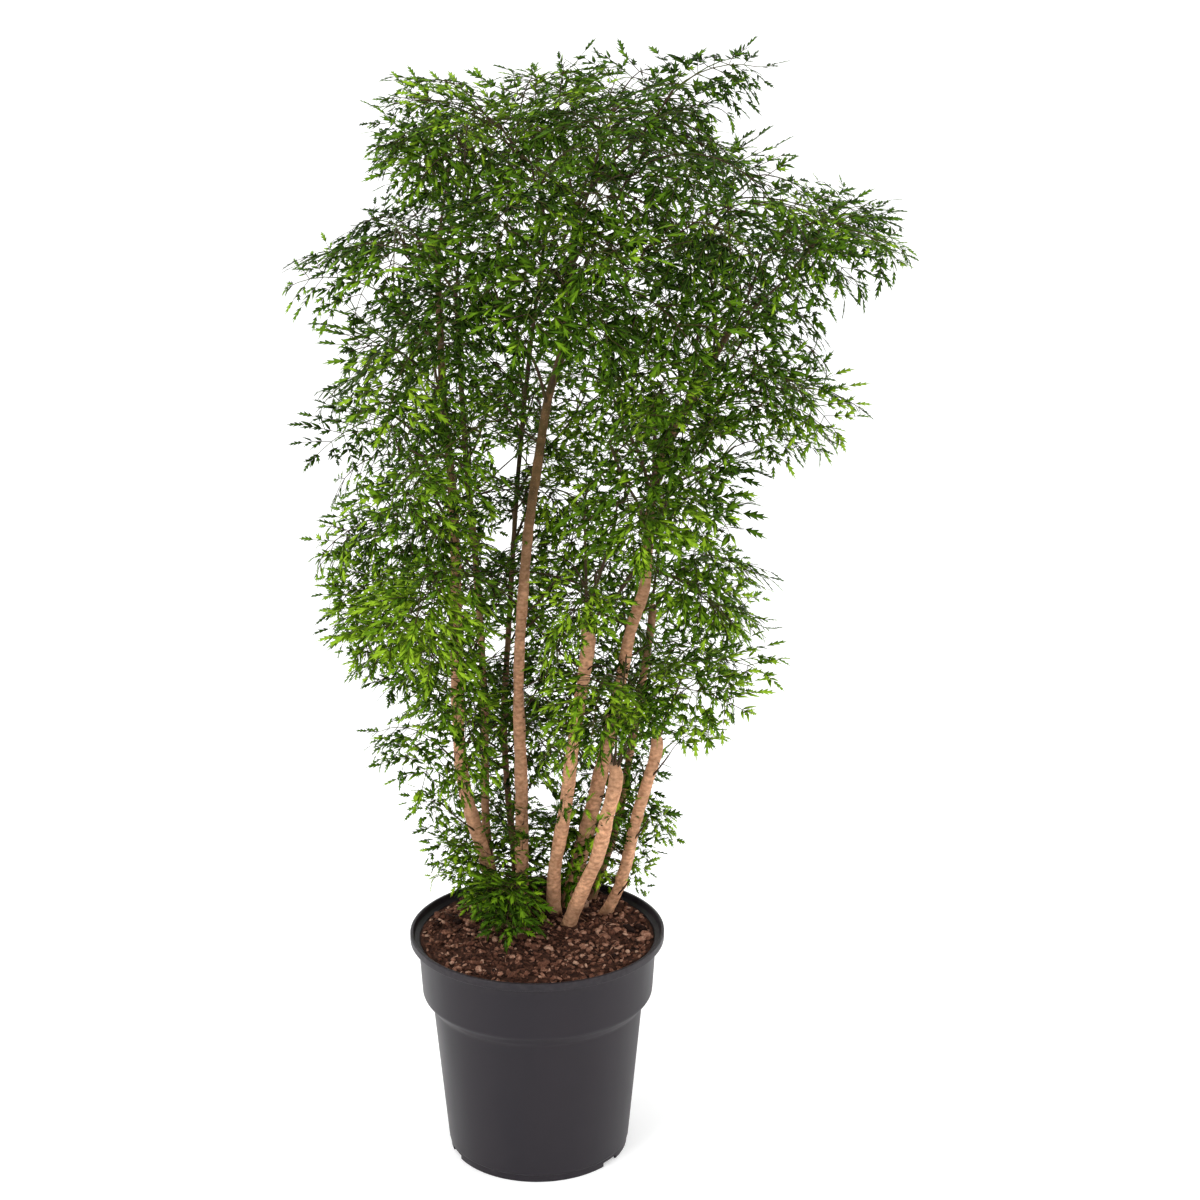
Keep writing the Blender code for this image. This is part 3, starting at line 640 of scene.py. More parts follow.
    def choose(self, shoot: Shoot, order: int, space: Space, filled: set, pattern: tuple,
               sight: Silhouette, draw: random.Random) -> Frond | None:
        """Of the fronds that fit a shoot, the one that fills the most empty room.

        Args:
            shoot: The shoot that carries the frond.
            order: Which of the shoot's fronds it is.
            space: The solids placed so far.
            filled: The cells filled so far, to which the frond's own are added.
            pattern: The blade's outline and triangles.
            sight: What is seen from the front.
            draw: Source of random numbers.

        Returns:
            The frond, or none where none fits.
        """
        best, best_cells, best_weight, choices = None, set(), 0.0, 0
        for attempt in range(self.tries):
            frond = self.propose(shoot, order, attempt, draw)
            if self.fits(shoot.stem, frond, space, pattern, sight):
                cells = self.cells_filled(frond, pattern, sight)
                weight = self.weigh(cells - filled)
                if weight > best_weight:
                    best, best_cells, best_weight = frond, cells, weight
                choices += 1
            if choices == self.choices:
                break
        filled.update(best_cells)
        return best

    def grow(self, shoots: list, space: Space, sight: Silhouette, draw: random.Random) -> list:
        """Set fronds on every shoot, clear of all that is placed.

        Args:
            shoots: The shoots in order.
            space: The solids placed so far, to which the fronds are added.
            sight: What is seen from the front.
            draw: Source of random numbers.

        Returns:
            Pairs of stem and frond.
        """
        pattern = self.pattern()
        fronds = []
        filled = set()
        for order in range(math.ceil(self.per_shoot)):
            share = min(1.0, self.per_shoot - order)
            for number, shoot in enumerate(shoots):
                if math.floor((number + 1) * share) == math.floor(number * share):
                    continue
                frond = self.choose(shoot, order, space, filled, pattern, sight, draw)
                if frond:
                    space.add(shoot.stem.name, *self.slab(frond, pattern, self.thickness / 2))
                    fronds.append((shoot.stem, frond))
        return fronds


STEMS = (
    StemPlan(
        "stem_left",
        ((-0.048, 0.072, 0.285), (-0.069, 0.085, 0.354), (-0.094, 0.080, 0.456), (-0.100, 0.070, 0.574),
         (-0.099, 0.070, 0.713), (-0.102, 0.070, 0.858), (-0.110, 0.065, 0.960), (-0.113, 0.055, 1.150)),
        0.0100, 0.0036,
        ((-0.185, 0.050, 1.095), (-0.145, -0.020, 1.160), (-0.095, 0.050, 1.250), (-0.070, -0.030, 1.265),
         (-0.150, 0.060, 1.010), (-0.170, 0.030, 0.950), (-0.165, 0.080, 0.890), (-0.140, 0.010, 0.835),
         (-0.160, 0.060, 0.775), (-0.150, 0.010, 0.710), (-0.145, 0.070, 0.650), (-0.125, 0.000, 0.585),
         (-0.130, 0.060, 0.525), (-0.115, 0.020, 0.450), (-0.085, 0.040, 0.375), (-0.060, 0.020, 0.345),
         (-0.110, -0.110, 1.070), (-0.120, -0.110, 0.930), (-0.105, -0.100, 0.790),
         (-0.060, -0.020, 0.940), (-0.062, -0.010, 0.810), (-0.062, 0.000, 0.690), (-0.065, 0.010, 0.570)),
        ((0.330, 0.440),),
    ),
    StemPlan(
        "stem_back_left",
        ((-0.056, 0.110, 0.286), (-0.067, 0.120, 0.356), (-0.070, 0.130, 0.437), (-0.070, 0.140, 0.560),
         (-0.078, 0.150, 0.720), (-0.090, 0.160, 0.880), (-0.100, 0.175, 1.080)),
        0.0068, 0.0034,
        ((-0.150, 0.190, 1.140), (-0.080, 0.210, 1.220), (-0.100, 0.270, 1.060), (-0.150, 0.220, 0.950),
         (-0.090, 0.260, 0.870), (-0.140, 0.190, 0.780), (-0.110, 0.220, 0.670)),
        slimness=0.80,
        shaded_bark_age=0.70,
    ),
    StemPlan(
        "stem_back",
        ((-0.031, 0.120, 0.287), (-0.034, 0.130, 0.344), (-0.042, 0.145, 0.430), (-0.045, 0.155, 0.520),
         (-0.036, 0.175, 0.680), (-0.024, 0.190, 0.850), (-0.008, 0.200, 1.000), (0.010, 0.205, 1.130)),
        0.0068, 0.0034,
        ((0.000, 0.220, 1.250), (0.040, 0.290, 1.140), (-0.030, 0.290, 1.000), (0.060, 0.280, 0.920),
         (0.000, 0.260, 0.820), (0.030, 0.240, 0.700)),
        slimness=0.64,
        shaded_bark_age=0.35,
    ),
    StemPlan(
        "stem_tall",
        ((-0.023, 0.090, 0.287), (-0.022, 0.090, 0.361), (-0.021, 0.085, 0.438), (-0.023, 0.070, 0.557),
         (-0.020, 0.055, 0.658), (-0.010, 0.045, 0.782), (0.002, 0.035, 0.872), (0.016, 0.025, 0.961),
         (0.038, 0.020, 1.052), (0.052, 0.030, 1.200)),
        0.0090, 0.0038,
        ((0.165, 0.030, 1.330), (0.095, 0.070, 1.300), (0.030, 0.010, 1.290), (-0.035, 0.060, 1.280),
         (0.110, -0.080, 1.240), (0.010, -0.100, 1.230), (0.080, 0.160, 1.260), (0.060, -0.160, 1.150),
         (-0.040, -0.130, 1.130), (0.130, -0.130, 1.170), (-0.015, 0.010, 0.340)),
        ((0.350, 1.000),),
    ),
    StemPlan(
        "stem_middle",
        ((0.022, 0.055, 0.284), (0.020, 0.050, 0.335), (0.035, 0.040, 0.438), (0.045, 0.030, 0.526),
         (0.063, 0.020, 0.650), (0.063, 0.020, 0.689)),
        0.0090, 0.0085,
        ((0.100, -0.080, 0.870), (0.075, -0.100, 0.790), (0.125, -0.030, 0.780), (0.060, 0.060, 0.840)),
        ((0.300, 0.500),),
        cut_top=True,
    ),
    StemPlan(
        "stem_right",
        ((0.040, 0.080, 0.287), (0.049, 0.080, 0.339), (0.075, 0.080, 0.449), (0.098, 0.070, 0.561),
         (0.117, 0.060, 0.668), (0.134, 0.060, 0.725), (0.138, 0.060, 0.793), (0.146, 0.060, 0.861),
         (0.170, 0.055, 0.930), (0.235, 0.045, 1.050)),
        0.0110, 0.0040,
        ((0.230, 0.080, 1.200), (0.325, 0.050, 1.145), (0.265, -0.030, 1.150), (0.250, 0.050, 1.070),
         (0.285, 0.040, 0.970), (0.240, 0.010, 0.915), (0.180, 0.060, 0.830), (0.190, -0.100, 1.080),
         (0.210, -0.100, 0.990), (0.140, -0.130, 0.990), (0.160, -0.080, 0.890), (0.210, 0.180, 1.140),
         (0.270, 0.160, 1.040), (0.230, 0.190, 0.930), (0.150, 0.210, 1.200),
         (0.085, -0.110, 1.030), (0.090, -0.080, 0.940)),
        ((0.620, 0.740),),
        clear=((0.400, 0.505),),
    ),
    StemPlan(
        "stem_front",
        ((0.037, 0.020, 0.284), (0.056, 0.010, 0.339), (0.075, 0.000, 0.390), (0.088, -0.010, 0.449),
         (0.099, -0.015, 0.500), (0.096, -0.015, 0.521)),
        0.0105, 0.0105,
        ((0.110, -0.100, 0.690), (0.150, -0.070, 0.640), (0.085, -0.080, 0.610), (0.125, -0.050, 0.570)),
        ((0.290, 0.520),),
        cut_top=True,
        slimness=0.82,
    ),
    StemPlan(
        "stem_right_low",
        ((0.083, 0.065, 0.284), (0.103, 0.060, 0.324), (0.127, 0.050, 0.429), (0.148, 0.040, 0.511),
         (0.150, 0.040, 0.536)),
        0.0080, 0.0078,
        ((0.185, 0.000, 0.650), (0.180, 0.060, 0.590), (0.165, 0.020, 0.520), (0.140, 0.030, 0.430),
         (0.118, 0.040, 0.345)),
        ((0.300, 0.530),),
        cut_top=True,
    ),
    StemPlan(
        "stem_back_right",
        ((0.066, 0.100, 0.284), (0.097, 0.120, 0.372), (0.114, 0.130, 0.457), (0.130, 0.140, 0.550),
         (0.145, 0.150, 0.655), (0.145, 0.150, 0.675)),
        0.0060, 0.0056,
        ((0.180, 0.090, 0.740), (0.200, 0.150, 0.700), (0.160, 0.210, 0.780), (0.180, 0.160, 0.600)),
        cut_top=True,
        slimness=0.85,
        shaded_bark_age=0.60,
    ),
)
CROWN_OUTLINE = (
    (-0.087, 0.300), (-0.110, 0.350), (-0.145, 0.400), (-0.175, 0.448), (-0.212, 0.512), (-0.212, 0.535),
    (-0.185, 0.575), (-0.222, 0.600), (-0.252, 0.640), (-0.258, 0.680), (-0.298, 0.743), (-0.298, 0.778),
    (-0.235, 0.815), (-0.262, 0.857), (-0.295, 0.905), (-0.302, 0.949), (-0.277, 0.983), (-0.245, 1.022),
    (-0.312, 1.068), (-0.276, 1.134), (-0.216, 1.172), (-0.175, 1.212), (-0.203, 1.249), (-0.211, 1.293),
    (-0.172, 1.334), (-0.105, 1.340), (-0.048, 1.346), (0.016, 1.356), (0.093, 1.371), (0.142, 1.362),
    (0.234, 1.388), (0.283, 1.343), (0.272, 1.310), (0.238, 1.286), (0.296, 1.270), (0.316, 1.241),
    (0.368, 1.213), (0.438, 1.188), (0.460, 1.122), (0.395, 1.083), (0.348, 1.070), (0.346, 1.034),
    (0.358, 0.999), (0.400, 0.980), (0.420, 0.917), (0.375, 0.892), (0.270, 0.885), (0.262, 0.813),
    (0.240, 0.780), (0.296, 0.745), (0.290, 0.710), (0.273, 0.693), (0.310, 0.634), (0.298, 0.593),
    (0.260, 0.540), (0.205, 0.525), (0.163, 0.500), (0.160, 0.450), (0.184, 0.415), (0.152, 0.378),
    (0.134, 0.315), (0.100, 0.240), (-0.060, 0.240),
)
WINDOWS = ((-0.032, 0.888, 0.018), (-0.034, 0.809, 0.014), (-0.055, 0.657, 0.015), (0.008, 0.450, 0.014))
SPARSE = ((0.374, 1.088, 0.040), (0.290, 0.620, 0.045), (-0.262, 1.010, 0.045), (-0.262, 0.900, 0.040),
          (0.330, 1.035, 0.030), (-0.160, 0.500, 0.045), (0.311, 0.905, 0.040), (-0.236, 0.830, 0.030),
          (0.215, 0.550, 0.040), (0.250, 0.600, 0.035), (-0.175, 0.550, 0.030), (-0.240, 1.085, 0.030),
          (0.185, 0.475, 0.030), (0.245, 1.295, 0.035))
EYE = (0.079, -2.67, 1.53)


# Fine geometry

def add_object(name: str, data: bpy.types.ID) -> bpy.types.Object:
    """A new object in the scene.

    Args:
        name: Its name.
        data: Its mesh, light or camera.

    Returns:
        The object.
    """
    piece = bpy.data.objects.new(name, data)
    bpy.context.scene.collection.objects.link(piece)
    return piece


def mesh_from(work: bmesh.types.BMesh, name: str) -> bpy.types.Mesh:
    """A mesh with what a bmesh holds; the bmesh is freed.

    Args:
        work: The bmesh.
        name: The mesh's name.

    Returns:
        The mesh.
    """
    mesh = bpy.data.meshes.new(name)
    work.to_mesh(mesh)
    work.free()
    return mesh


@dataclass
class MeshBatch:
    """Closed shapes with values at their vertices, gathered to make one object."""

    points: list = field(default_factory=list)
    groups: list = field(default_factory=list)
    values: dict = field(default_factory=dict)
    count: int = 0

    def add(self, points: np.ndarray, groups: list, **values: np.ndarray) -> None:
        """Add a shape.

        Args:
            points: Its vertices, one row each.
            groups: Arrays of faces, each with faces of one number of corners.
            **values: Named values, one for each vertex.
        """
        self.points.append(points)
        self.groups += [faces + self.count for faces in groups]
        for name, value in values.items():
            self.values.setdefault(name, []).append(np.broadcast_to(value, len(points)))
        self.count += len(points)

    def build(self, name: str, material: bpy.types.Material) -> bpy.types.Object:
        """Make the object.

        Args:
            name: The piece's name.
            material: Its finish.

        Returns:
            The new object, in the scene.
        """
        mesh = bpy.data.meshes.new(name)
        points = np.concatenate(self.points).astype(np.float32)
        corners = np.concatenate([faces.ravel() for faces in self.groups]).astype(np.int32)
        sizes = np.concatenate([np.full(len(faces), faces.shape[1]) for faces in self.groups])
        starts = np.concatenate([[0], np.cumsum(sizes)[:-1]]).astype(np.int32)
        mesh.vertices.add(len(points))
        mesh.vertices.foreach_set("co", points.ravel())
        mesh.loops.add(len(corners))
        mesh.loops.foreach_set("vertex_index", corners)
        mesh.polygons.add(len(sizes))
        mesh.polygons.foreach_set("loop_start", starts)
        mesh.polygons.foreach_set("use_smooth", np.ones(len(sizes), dtype=bool))
        mesh.update(calc_edges=True)
        for value_name, parts in self.values.items():
            layer = mesh.attributes.new(value_name, "FLOAT", "POINT")
            layer.data.foreach_set("value", np.concatenate(parts).astype(np.float32))
        mesh.materials.append(material)
        return add_object(name, mesh)


def unit(vectors: np.ndarray) -> np.ndarray:
    """Vectors at unit length."""
    return vectors / np.linalg.norm(vectors, axis=-1, keepdims=True)


def carried_frames(points: np.ndarray) -> tuple[np.ndarray, np.ndarray]:
    """Side and other side along a line, carried without twist.

    Args:
        points: The line's points.

    Returns:
        Two arrays of unit vectors.
    """
    tangents = unit(np.gradient(points, axis=0))
    side = np.cross(tangents[0], (0.0, 1.0, 0.0))
    sides = []
    for tangent in tangents:
        side = unit(side - tangent * np.dot(side, tangent))
        sides.append(side)
    sides = np.array(sides)
    return sides, np.cross(tangents, sides)


def tube(points: np.ndarray, radii: np.ndarray, sides: int) -> tuple[np.ndarray, list]:
    """A closed tube.

    Args:
        points: Points of the axis.
        radii: Radius at each point, or at each point and side.
        sides: Number of sides.

    Returns:
        The vertices and the groups of faces.
    """
    side, other = carried_frames(points)
    angles = np.linspace(0.0, math.tau, sides, endpoint=False)
    radii = np.broadcast_to(np.asarray(radii).reshape(len(points), -1), (len(points), sides))
    cosines, sines = np.cos(angles)[None, :, None], np.sin(angles)[None, :, None]
    around = side[:, None] * cosines + other[:, None] * sines
    rings = points[:, None] + around * radii[..., None]
    vertices = rings.reshape(-1, 3)
    start = np.arange(len(points) - 1)[:, None] * sides
    here, after = np.arange(sides)[None], (np.arange(sides)[None] + 1) % sides
    walls = np.stack([start + here, start + after, start + sides + after, start + sides + here], -1)
    ends = np.array([np.arange(sides)[::-1], np.arange(sides) + (len(points) - 1) * sides])
    return vertices, [walls.reshape(-1, 4), ends]


def smooth_line(points: list, radii: list, step: float) -> tuple[np.ndarray, np.ndarray, np.ndarray]:
    """A smooth line through points, with even steps.

    Args:
        points: Points of the line.
        radii: Radius at each point.
        step: Distance between the new points, in metres.

    Returns:
        The new points, their radii, and their distance from the start.
    """
    knots = np.array([tuple(point) for point in points])
    ends = np.vstack([2 * knots[0] - knots[1], knots, 2 * knots[-1] - knots[-2]])
    line, widths = [], []
    for i in range(1, len(ends) - 2):
        before, first, second, after = ends[i - 1:i + 3]
        count = max(2, int(round(np.linalg.norm(second - first) / step)))
        for share in np.arange(count) / count:
            line.append(first + 0.5 * share * ((second - before) + share * (
                2 * before - 5 * first + 4 * second - after + share * (
                    3 * first - before - 3 * second + after))))
            widths.append(radii[i - 1] + (radii[i] - radii[i - 1]) * share)
    line, widths = np.array(line + [knots[-1]]), np.array(widths + [radii[-1]])
    lengths = np.concatenate([[0.0], np.cumsum(np.linalg.norm(np.diff(line, axis=0), axis=1))])
    return line, widths, lengths


class LeafletCut(Enum):
    """How a leaflet's edge is cut: each pair of lobes with its tips, the notches after it, and its middle.

    Each row holds the tip's share along and across, the notch's share along and across, and the share
    along of the midrib's point.
    """

    PLAIN = ((0.30, 0.50, 0.66, 0.34, 0.62),)
    LOBED = ((0.36, 0.50, 0.30, 0.15, 0.26), (0.68, 0.40, 0.60, 0.11, 0.56))
    FEATHERED = ((0.30, 0.46, 0.24, 0.15, 0.20), (0.56, 0.48, 0.48, 0.14, 0.44),
                 (0.78, 0.32, 0.70, 0.10, 0.66))

    def template(self) -> tuple[np.ndarray, np.ndarray]:
        """The leaflet's vertices and triangles.

        Returns:
            Rows of share along, across, side of the sheet and rib, and the triangles.
        """
        rows = [(0.0, 0.0, 0.0, 1.0), (1.0, 0.0, 0.0, 1.0)]
        for tip_along, tip_across, notch_along, notch_across, middle in self.value:
            rows += [(tip_along, tip_across, 0.0, 0.0), (tip_along, -tip_across, 0.0, 0.0),
                     (notch_along, notch_across, 0.0, 0.0), (notch_along, -notch_across, 0.0, 0.0),
                     (middle, 0.0, 1.0, 1.0), (middle, 0.0, -1.0, 1.0)]
        triangles = []
        for layer, side in ((4, 0), (4, 1), (5, 0), (5, 1)):
            fans = []
            old_notch, old_middle = None, 0
            for start in range(2, len(rows), 6):
                tip, notch, middle = start + side, start + 2 + side, start + layer
                if old_notch:
                    fans.append((old_middle, old_notch, tip))
                fans += [(old_middle, tip, notch), (old_middle, notch, middle)]
                old_notch, old_middle = notch, middle
            fans.append((old_middle, old_notch, 1))
            turn = 1 if (layer == 4) == (side == 1) else -1
            triangles += [corners[::turn] for corners in fans]
        return np.array(rows), np.array(triangles)


@dataclass
class Leaflets:
    """Leaflets placed so far, turned into thin closed blades all at once."""

    thickness: float = 0.0005
    rows: dict = field(default_factory=lambda: {cut: [] for cut in LeafletCut})

    def place(self, cut: LeafletCut, origin: np.ndarray, heading: np.ndarray, normal: np.ndarray,
              sizes: tuple) -> None:
        """Note a leaflet.

        Args:
            cut: How its edge is cut.
            origin: Its foot.
            heading: Unit vector along it.
            normal: Unit vector off its upper side.
            sizes: Length, width, curl, fold and tone.
        """
        self.rows[cut].append((*origin, *heading, *normal, *sizes))

    def fill(self, batch: MeshBatch) -> None:
        """Turn the leaflets into blades.

        Args:
            batch: Where the blades go.
        """
        for cut, rows in self.rows.items():
            if not rows:
                continue
            table = np.array(rows)
            origin, heading, normal = table[:, 0:3], table[:, 3:6], table[:, 6:9]
            length, width, curl, fold, tone = table[:, 9:14].T
            side = np.cross(normal, heading)
            shape, triangles = cut.template()
            along, across, layer, rib = shape.T
            lift = (layer[None] * self.thickness / 2 + fold[:, None] * width[:, None] * np.abs(across)[None]
                    - curl[:, None] * length[:, None] * along[None] ** 2)
            points = (origin[:, None] + heading[:, None] * (length[:, None] * along[None])[..., None]
                      + side[:, None] * (width[:, None] * across[None])[..., None]
                      + normal[:, None] * lift[..., None])
            offsets = np.arange(len(rows))[:, None, None] * len(shape)
            batch.add(points.reshape(-1, 3), [(triangles[None] + offsets).reshape(-1, 3)],
                      tone=np.repeat(tone, len(shape)), rib=np.tile(rib, len(rows)),
                      tip=np.tile(along, len(rows)), under=np.tile(0.5 - layer / 2, len(rows)))


@dataclass(frozen=True)
class FrondDetail:
    """How a frond is cut into pinnae and leaflets, on thin stalks."""

    pinnae: tuple = ((0.27, 0.46, 0.400, 3), (0.42, 0.62, 0.385, 3), (0.57, 0.76, 0.320, 3),
                     (0.71, 0.87, 0.225, 2))
    terminal: tuple = (0.84, 1.00, 0.0, 3)
    young_pinnae: tuple = ((0.24, 0.44, 0.36, 1), (0.42, 0.62, 0.34, 1), (0.60, 0.78, 0.27, 1),
                           (0.76, 0.90, 0.18, 0))
    young_terminal: tuple = (0.84, 1.00, 0.0, 1)
    young_length: float = 0.108
    tiny_pinnae: tuple = ((0.28, 0.38, 0.10, 0), (0.48, 0.58, 0.10, 0), (0.68, 0.78, 0.08, 0))
    tiny_terminal: tuple = (0.84, 0.96, 0.0, 0)
    tiny_length: float = 0.0505
    tiny_leaflet_length: float = 0.46
    pinna_lift: float = 0.10
    first_leaflet: float = 0.30
    last_leaflet: float = 0.92
    leaflet_length: float = 0.160
    young_leaflet_length: float = 0.270
    leaflet_taper: float = 0.32
    end_gain: float = 1.55
    slimness: tuple = ((LeafletCut.PLAIN, 0.21), (LeafletCut.LOBED, 0.47), (LeafletCut.FEATHERED, 0.34))
    young_slimness: tuple = ((LeafletCut.PLAIN, 0.34), (LeafletCut.LOBED, 0.50), (LeafletCut.FEATHERED, 0.44))
    leaflet_turn: tuple = (0.36, 0.82)
    leaflet_tilt: float = 0.30
    plain_share: float = 0.32
    leaflet_lean: tuple = (0.5, 0.3)
    leaflet_curl: tuple = (0.0, 0.22)
    leaflet_fold: tuple = (0.0, 0.30)
    length_jitter: tuple = (0.82, 1.18)
    width_jitter: tuple = (0.85, 1.2)
    short_pinna: tuple = (0.60, 0.40, 0.4)
    stalk_radius: float = 0.0062
    stalk_taper: float = 0.55
    stalk_points: int = 7
    pinna_stalk_radius: float = 0.0040
    pinna_stalk: tuple = ((0.0, 1.0), (0.5, 0.8), (0.98, 0.5))
    look_ahead: float = 0.08
    tone_spread: float = 0.15
    end_tone: float = 0.06

    def pinna_point(self, frond: Frond, pinna: tuple, side: float, lift: float, share: float) -> np.ndarray:
        """Point of a pinna's stalk.

        Args:
            frond: The frond.
            pinna: Where it starts and ends along the frond, how far across it reaches, and its pairs.
            side: 1 or -1 for the frond's two sides, or 0 for its end.
            lift: How far its tip bends off the blade.
            share: Share of its length.

        Returns:
            The point.
        """
        start, end, across, _ = pinna
        out = frond.length * lift * share * share
        return np.array(frond.point(start + (end - start) * share, side * across * share, out))

    def cut_of(self, frond: Frond) -> tuple[tuple, tuple, float, tuple]:
        """How a frond of its length is cut.

        Args:
            frond: The frond.

        Returns:
            Its pinnae, its end, its leaflets' length against its own, and their widths by cut.
        """
        if frond.length < self.tiny_length:
            return self.tiny_pinnae, self.tiny_terminal, self.tiny_leaflet_length, self.young_slimness
        if frond.length < self.young_length:
            return self.young_pinnae, self.young_terminal, self.young_leaflet_length, self.young_slimness
        return self.pinnae, self.terminal, self.leaflet_length, self.slimness

    def dress(self, frond: Frond, tone: float, leaflets: Leaflets, stalks: MeshBatch,
              draw: random.Random) -> None:
        """Cut one frond.

        Args:
            frond: The frond.
            tone: Its brightness, from 0 to 1.
            leaflets: Where its leaflets go.
            stalks: Where its stalks go.
            draw: Source of random numbers.
        """
        shares = np.linspace(0.0, self.terminal[0], self.stalk_points)
        rib = np.array([tuple(frond.point(share, 0.0)) for share in shares])
        radii = self.stalk_radius * frond.length * (1.0 - self.stalk_taper * shares)
        points, groups = tube(rib, radii, 4)
        stalks.add(points, groups, tone=draw.uniform(0.0, 1.0))
        pinnae, terminal, _, _ = self.cut_of(frond)
        for pinna in pinnae:
            for side in (1.0, -1.0):
                self.dress_pinna(frond, pinna, side, tone, leaflets, stalks, draw)
        self.dress_pinna(frond, terminal, 0.0, tone, leaflets, stalks, draw)

    def dress_pinna(self, frond: Frond, pinna: tuple, side: float, tone: float, leaflets: Leaflets,
                    stalks: MeshBatch, draw: random.Random) -> None:
        """Set one pinna's stalk and leaflets.

        Args:
            frond: The frond.
            pinna: Where it starts and ends along the frond, how far across it reaches, and its pairs.
            side: 1 or -1 for the frond's two sides, or 0 for its end.
            tone: The frond's brightness.
            leaflets: Where its leaflets go.
            stalks: Where its stalk goes.
            draw: Source of random numbers.
        """
        lift = draw.uniform(-self.pinna_lift, self.pinna_lift)
        shares, tapers = zip(*self.pinna_stalk)
        line = np.array([self.pinna_point(frond, pinna, side, lift, share) for share in shares])
        radii = self.pinna_stalk_radius * frond.length * np.array(tapers)
        points, groups = tube(line, radii, 3)
        stalks.add(points, groups, tone=draw.uniform(0.0, 1.0))
        reach = np.linalg.norm(line[-1] - line[0])
        normal = np.array(frond.face((pinna[0] + pinna[1]) / 2))
        _, _, size, widths = self.cut_of(frond)
        slimness = dict(widths)
        pairs = pinna[3]
        for number in range(pairs + 1):
            share = self.first_leaflet + (self.last_leaflet - self.first_leaflet) * number / max(1, pairs)
            if number == pairs:
                share = self.last_leaflet
            foot = self.pinna_point(frond, pinna, side, lift, share)
            ahead = self.pinna_point(frond, pinna, side, lift, share + self.look_ahead)
            tangent = unit(ahead - foot)
            across = np.cross(normal, tangent)
            for turn in (0.0,) if number == pairs else (1.0, -1.0):
                angle = turn * draw.uniform(*self.leaflet_turn)
                heading = tangent * math.cos(angle) + across * math.sin(angle)
                heading = unit(heading + normal * draw.uniform(-self.leaflet_tilt, self.leaflet_tilt))
                leans = [draw.uniform(-lean, lean) for lean in self.leaflet_lean]
                up = normal + across * leans[0] + tangent * leans[1]
                up = unit(up - heading * np.dot(up, heading))
                length = frond.length * size
                length *= draw.uniform(*self.length_jitter) * (1.0 - self.leaflet_taper * share)
                least, gain, full_reach = self.short_pinna
                length *= least + gain * min(1.0, reach / (full_reach * frond.length))
                cut = LeafletCut.PLAIN if draw.random() < self.plain_share else LeafletCut.LOBED
                if turn == 0.0:
                    cut = LeafletCut.FEATHERED
                    length *= self.end_gain
                width = length * slimness[cut] * draw.uniform(*self.width_jitter)
                own_tone = tone + draw.gauss(0.0, self.tone_spread) + self.end_tone * pinna[1]
                curl, fold = draw.uniform(*self.leaflet_curl), draw.uniform(*self.leaflet_fold)
                sizes = (length, width, curl, fold, min(1.0, max(0.0, own_tone)))
                leaflets.place(cut, foot, heading, up, sizes)


@dataclass(frozen=True)
class Twig:
    """A thin twig of a stem, with the frond at its end."""

    stem: StemPlan
    points: tuple
    frond: Frond


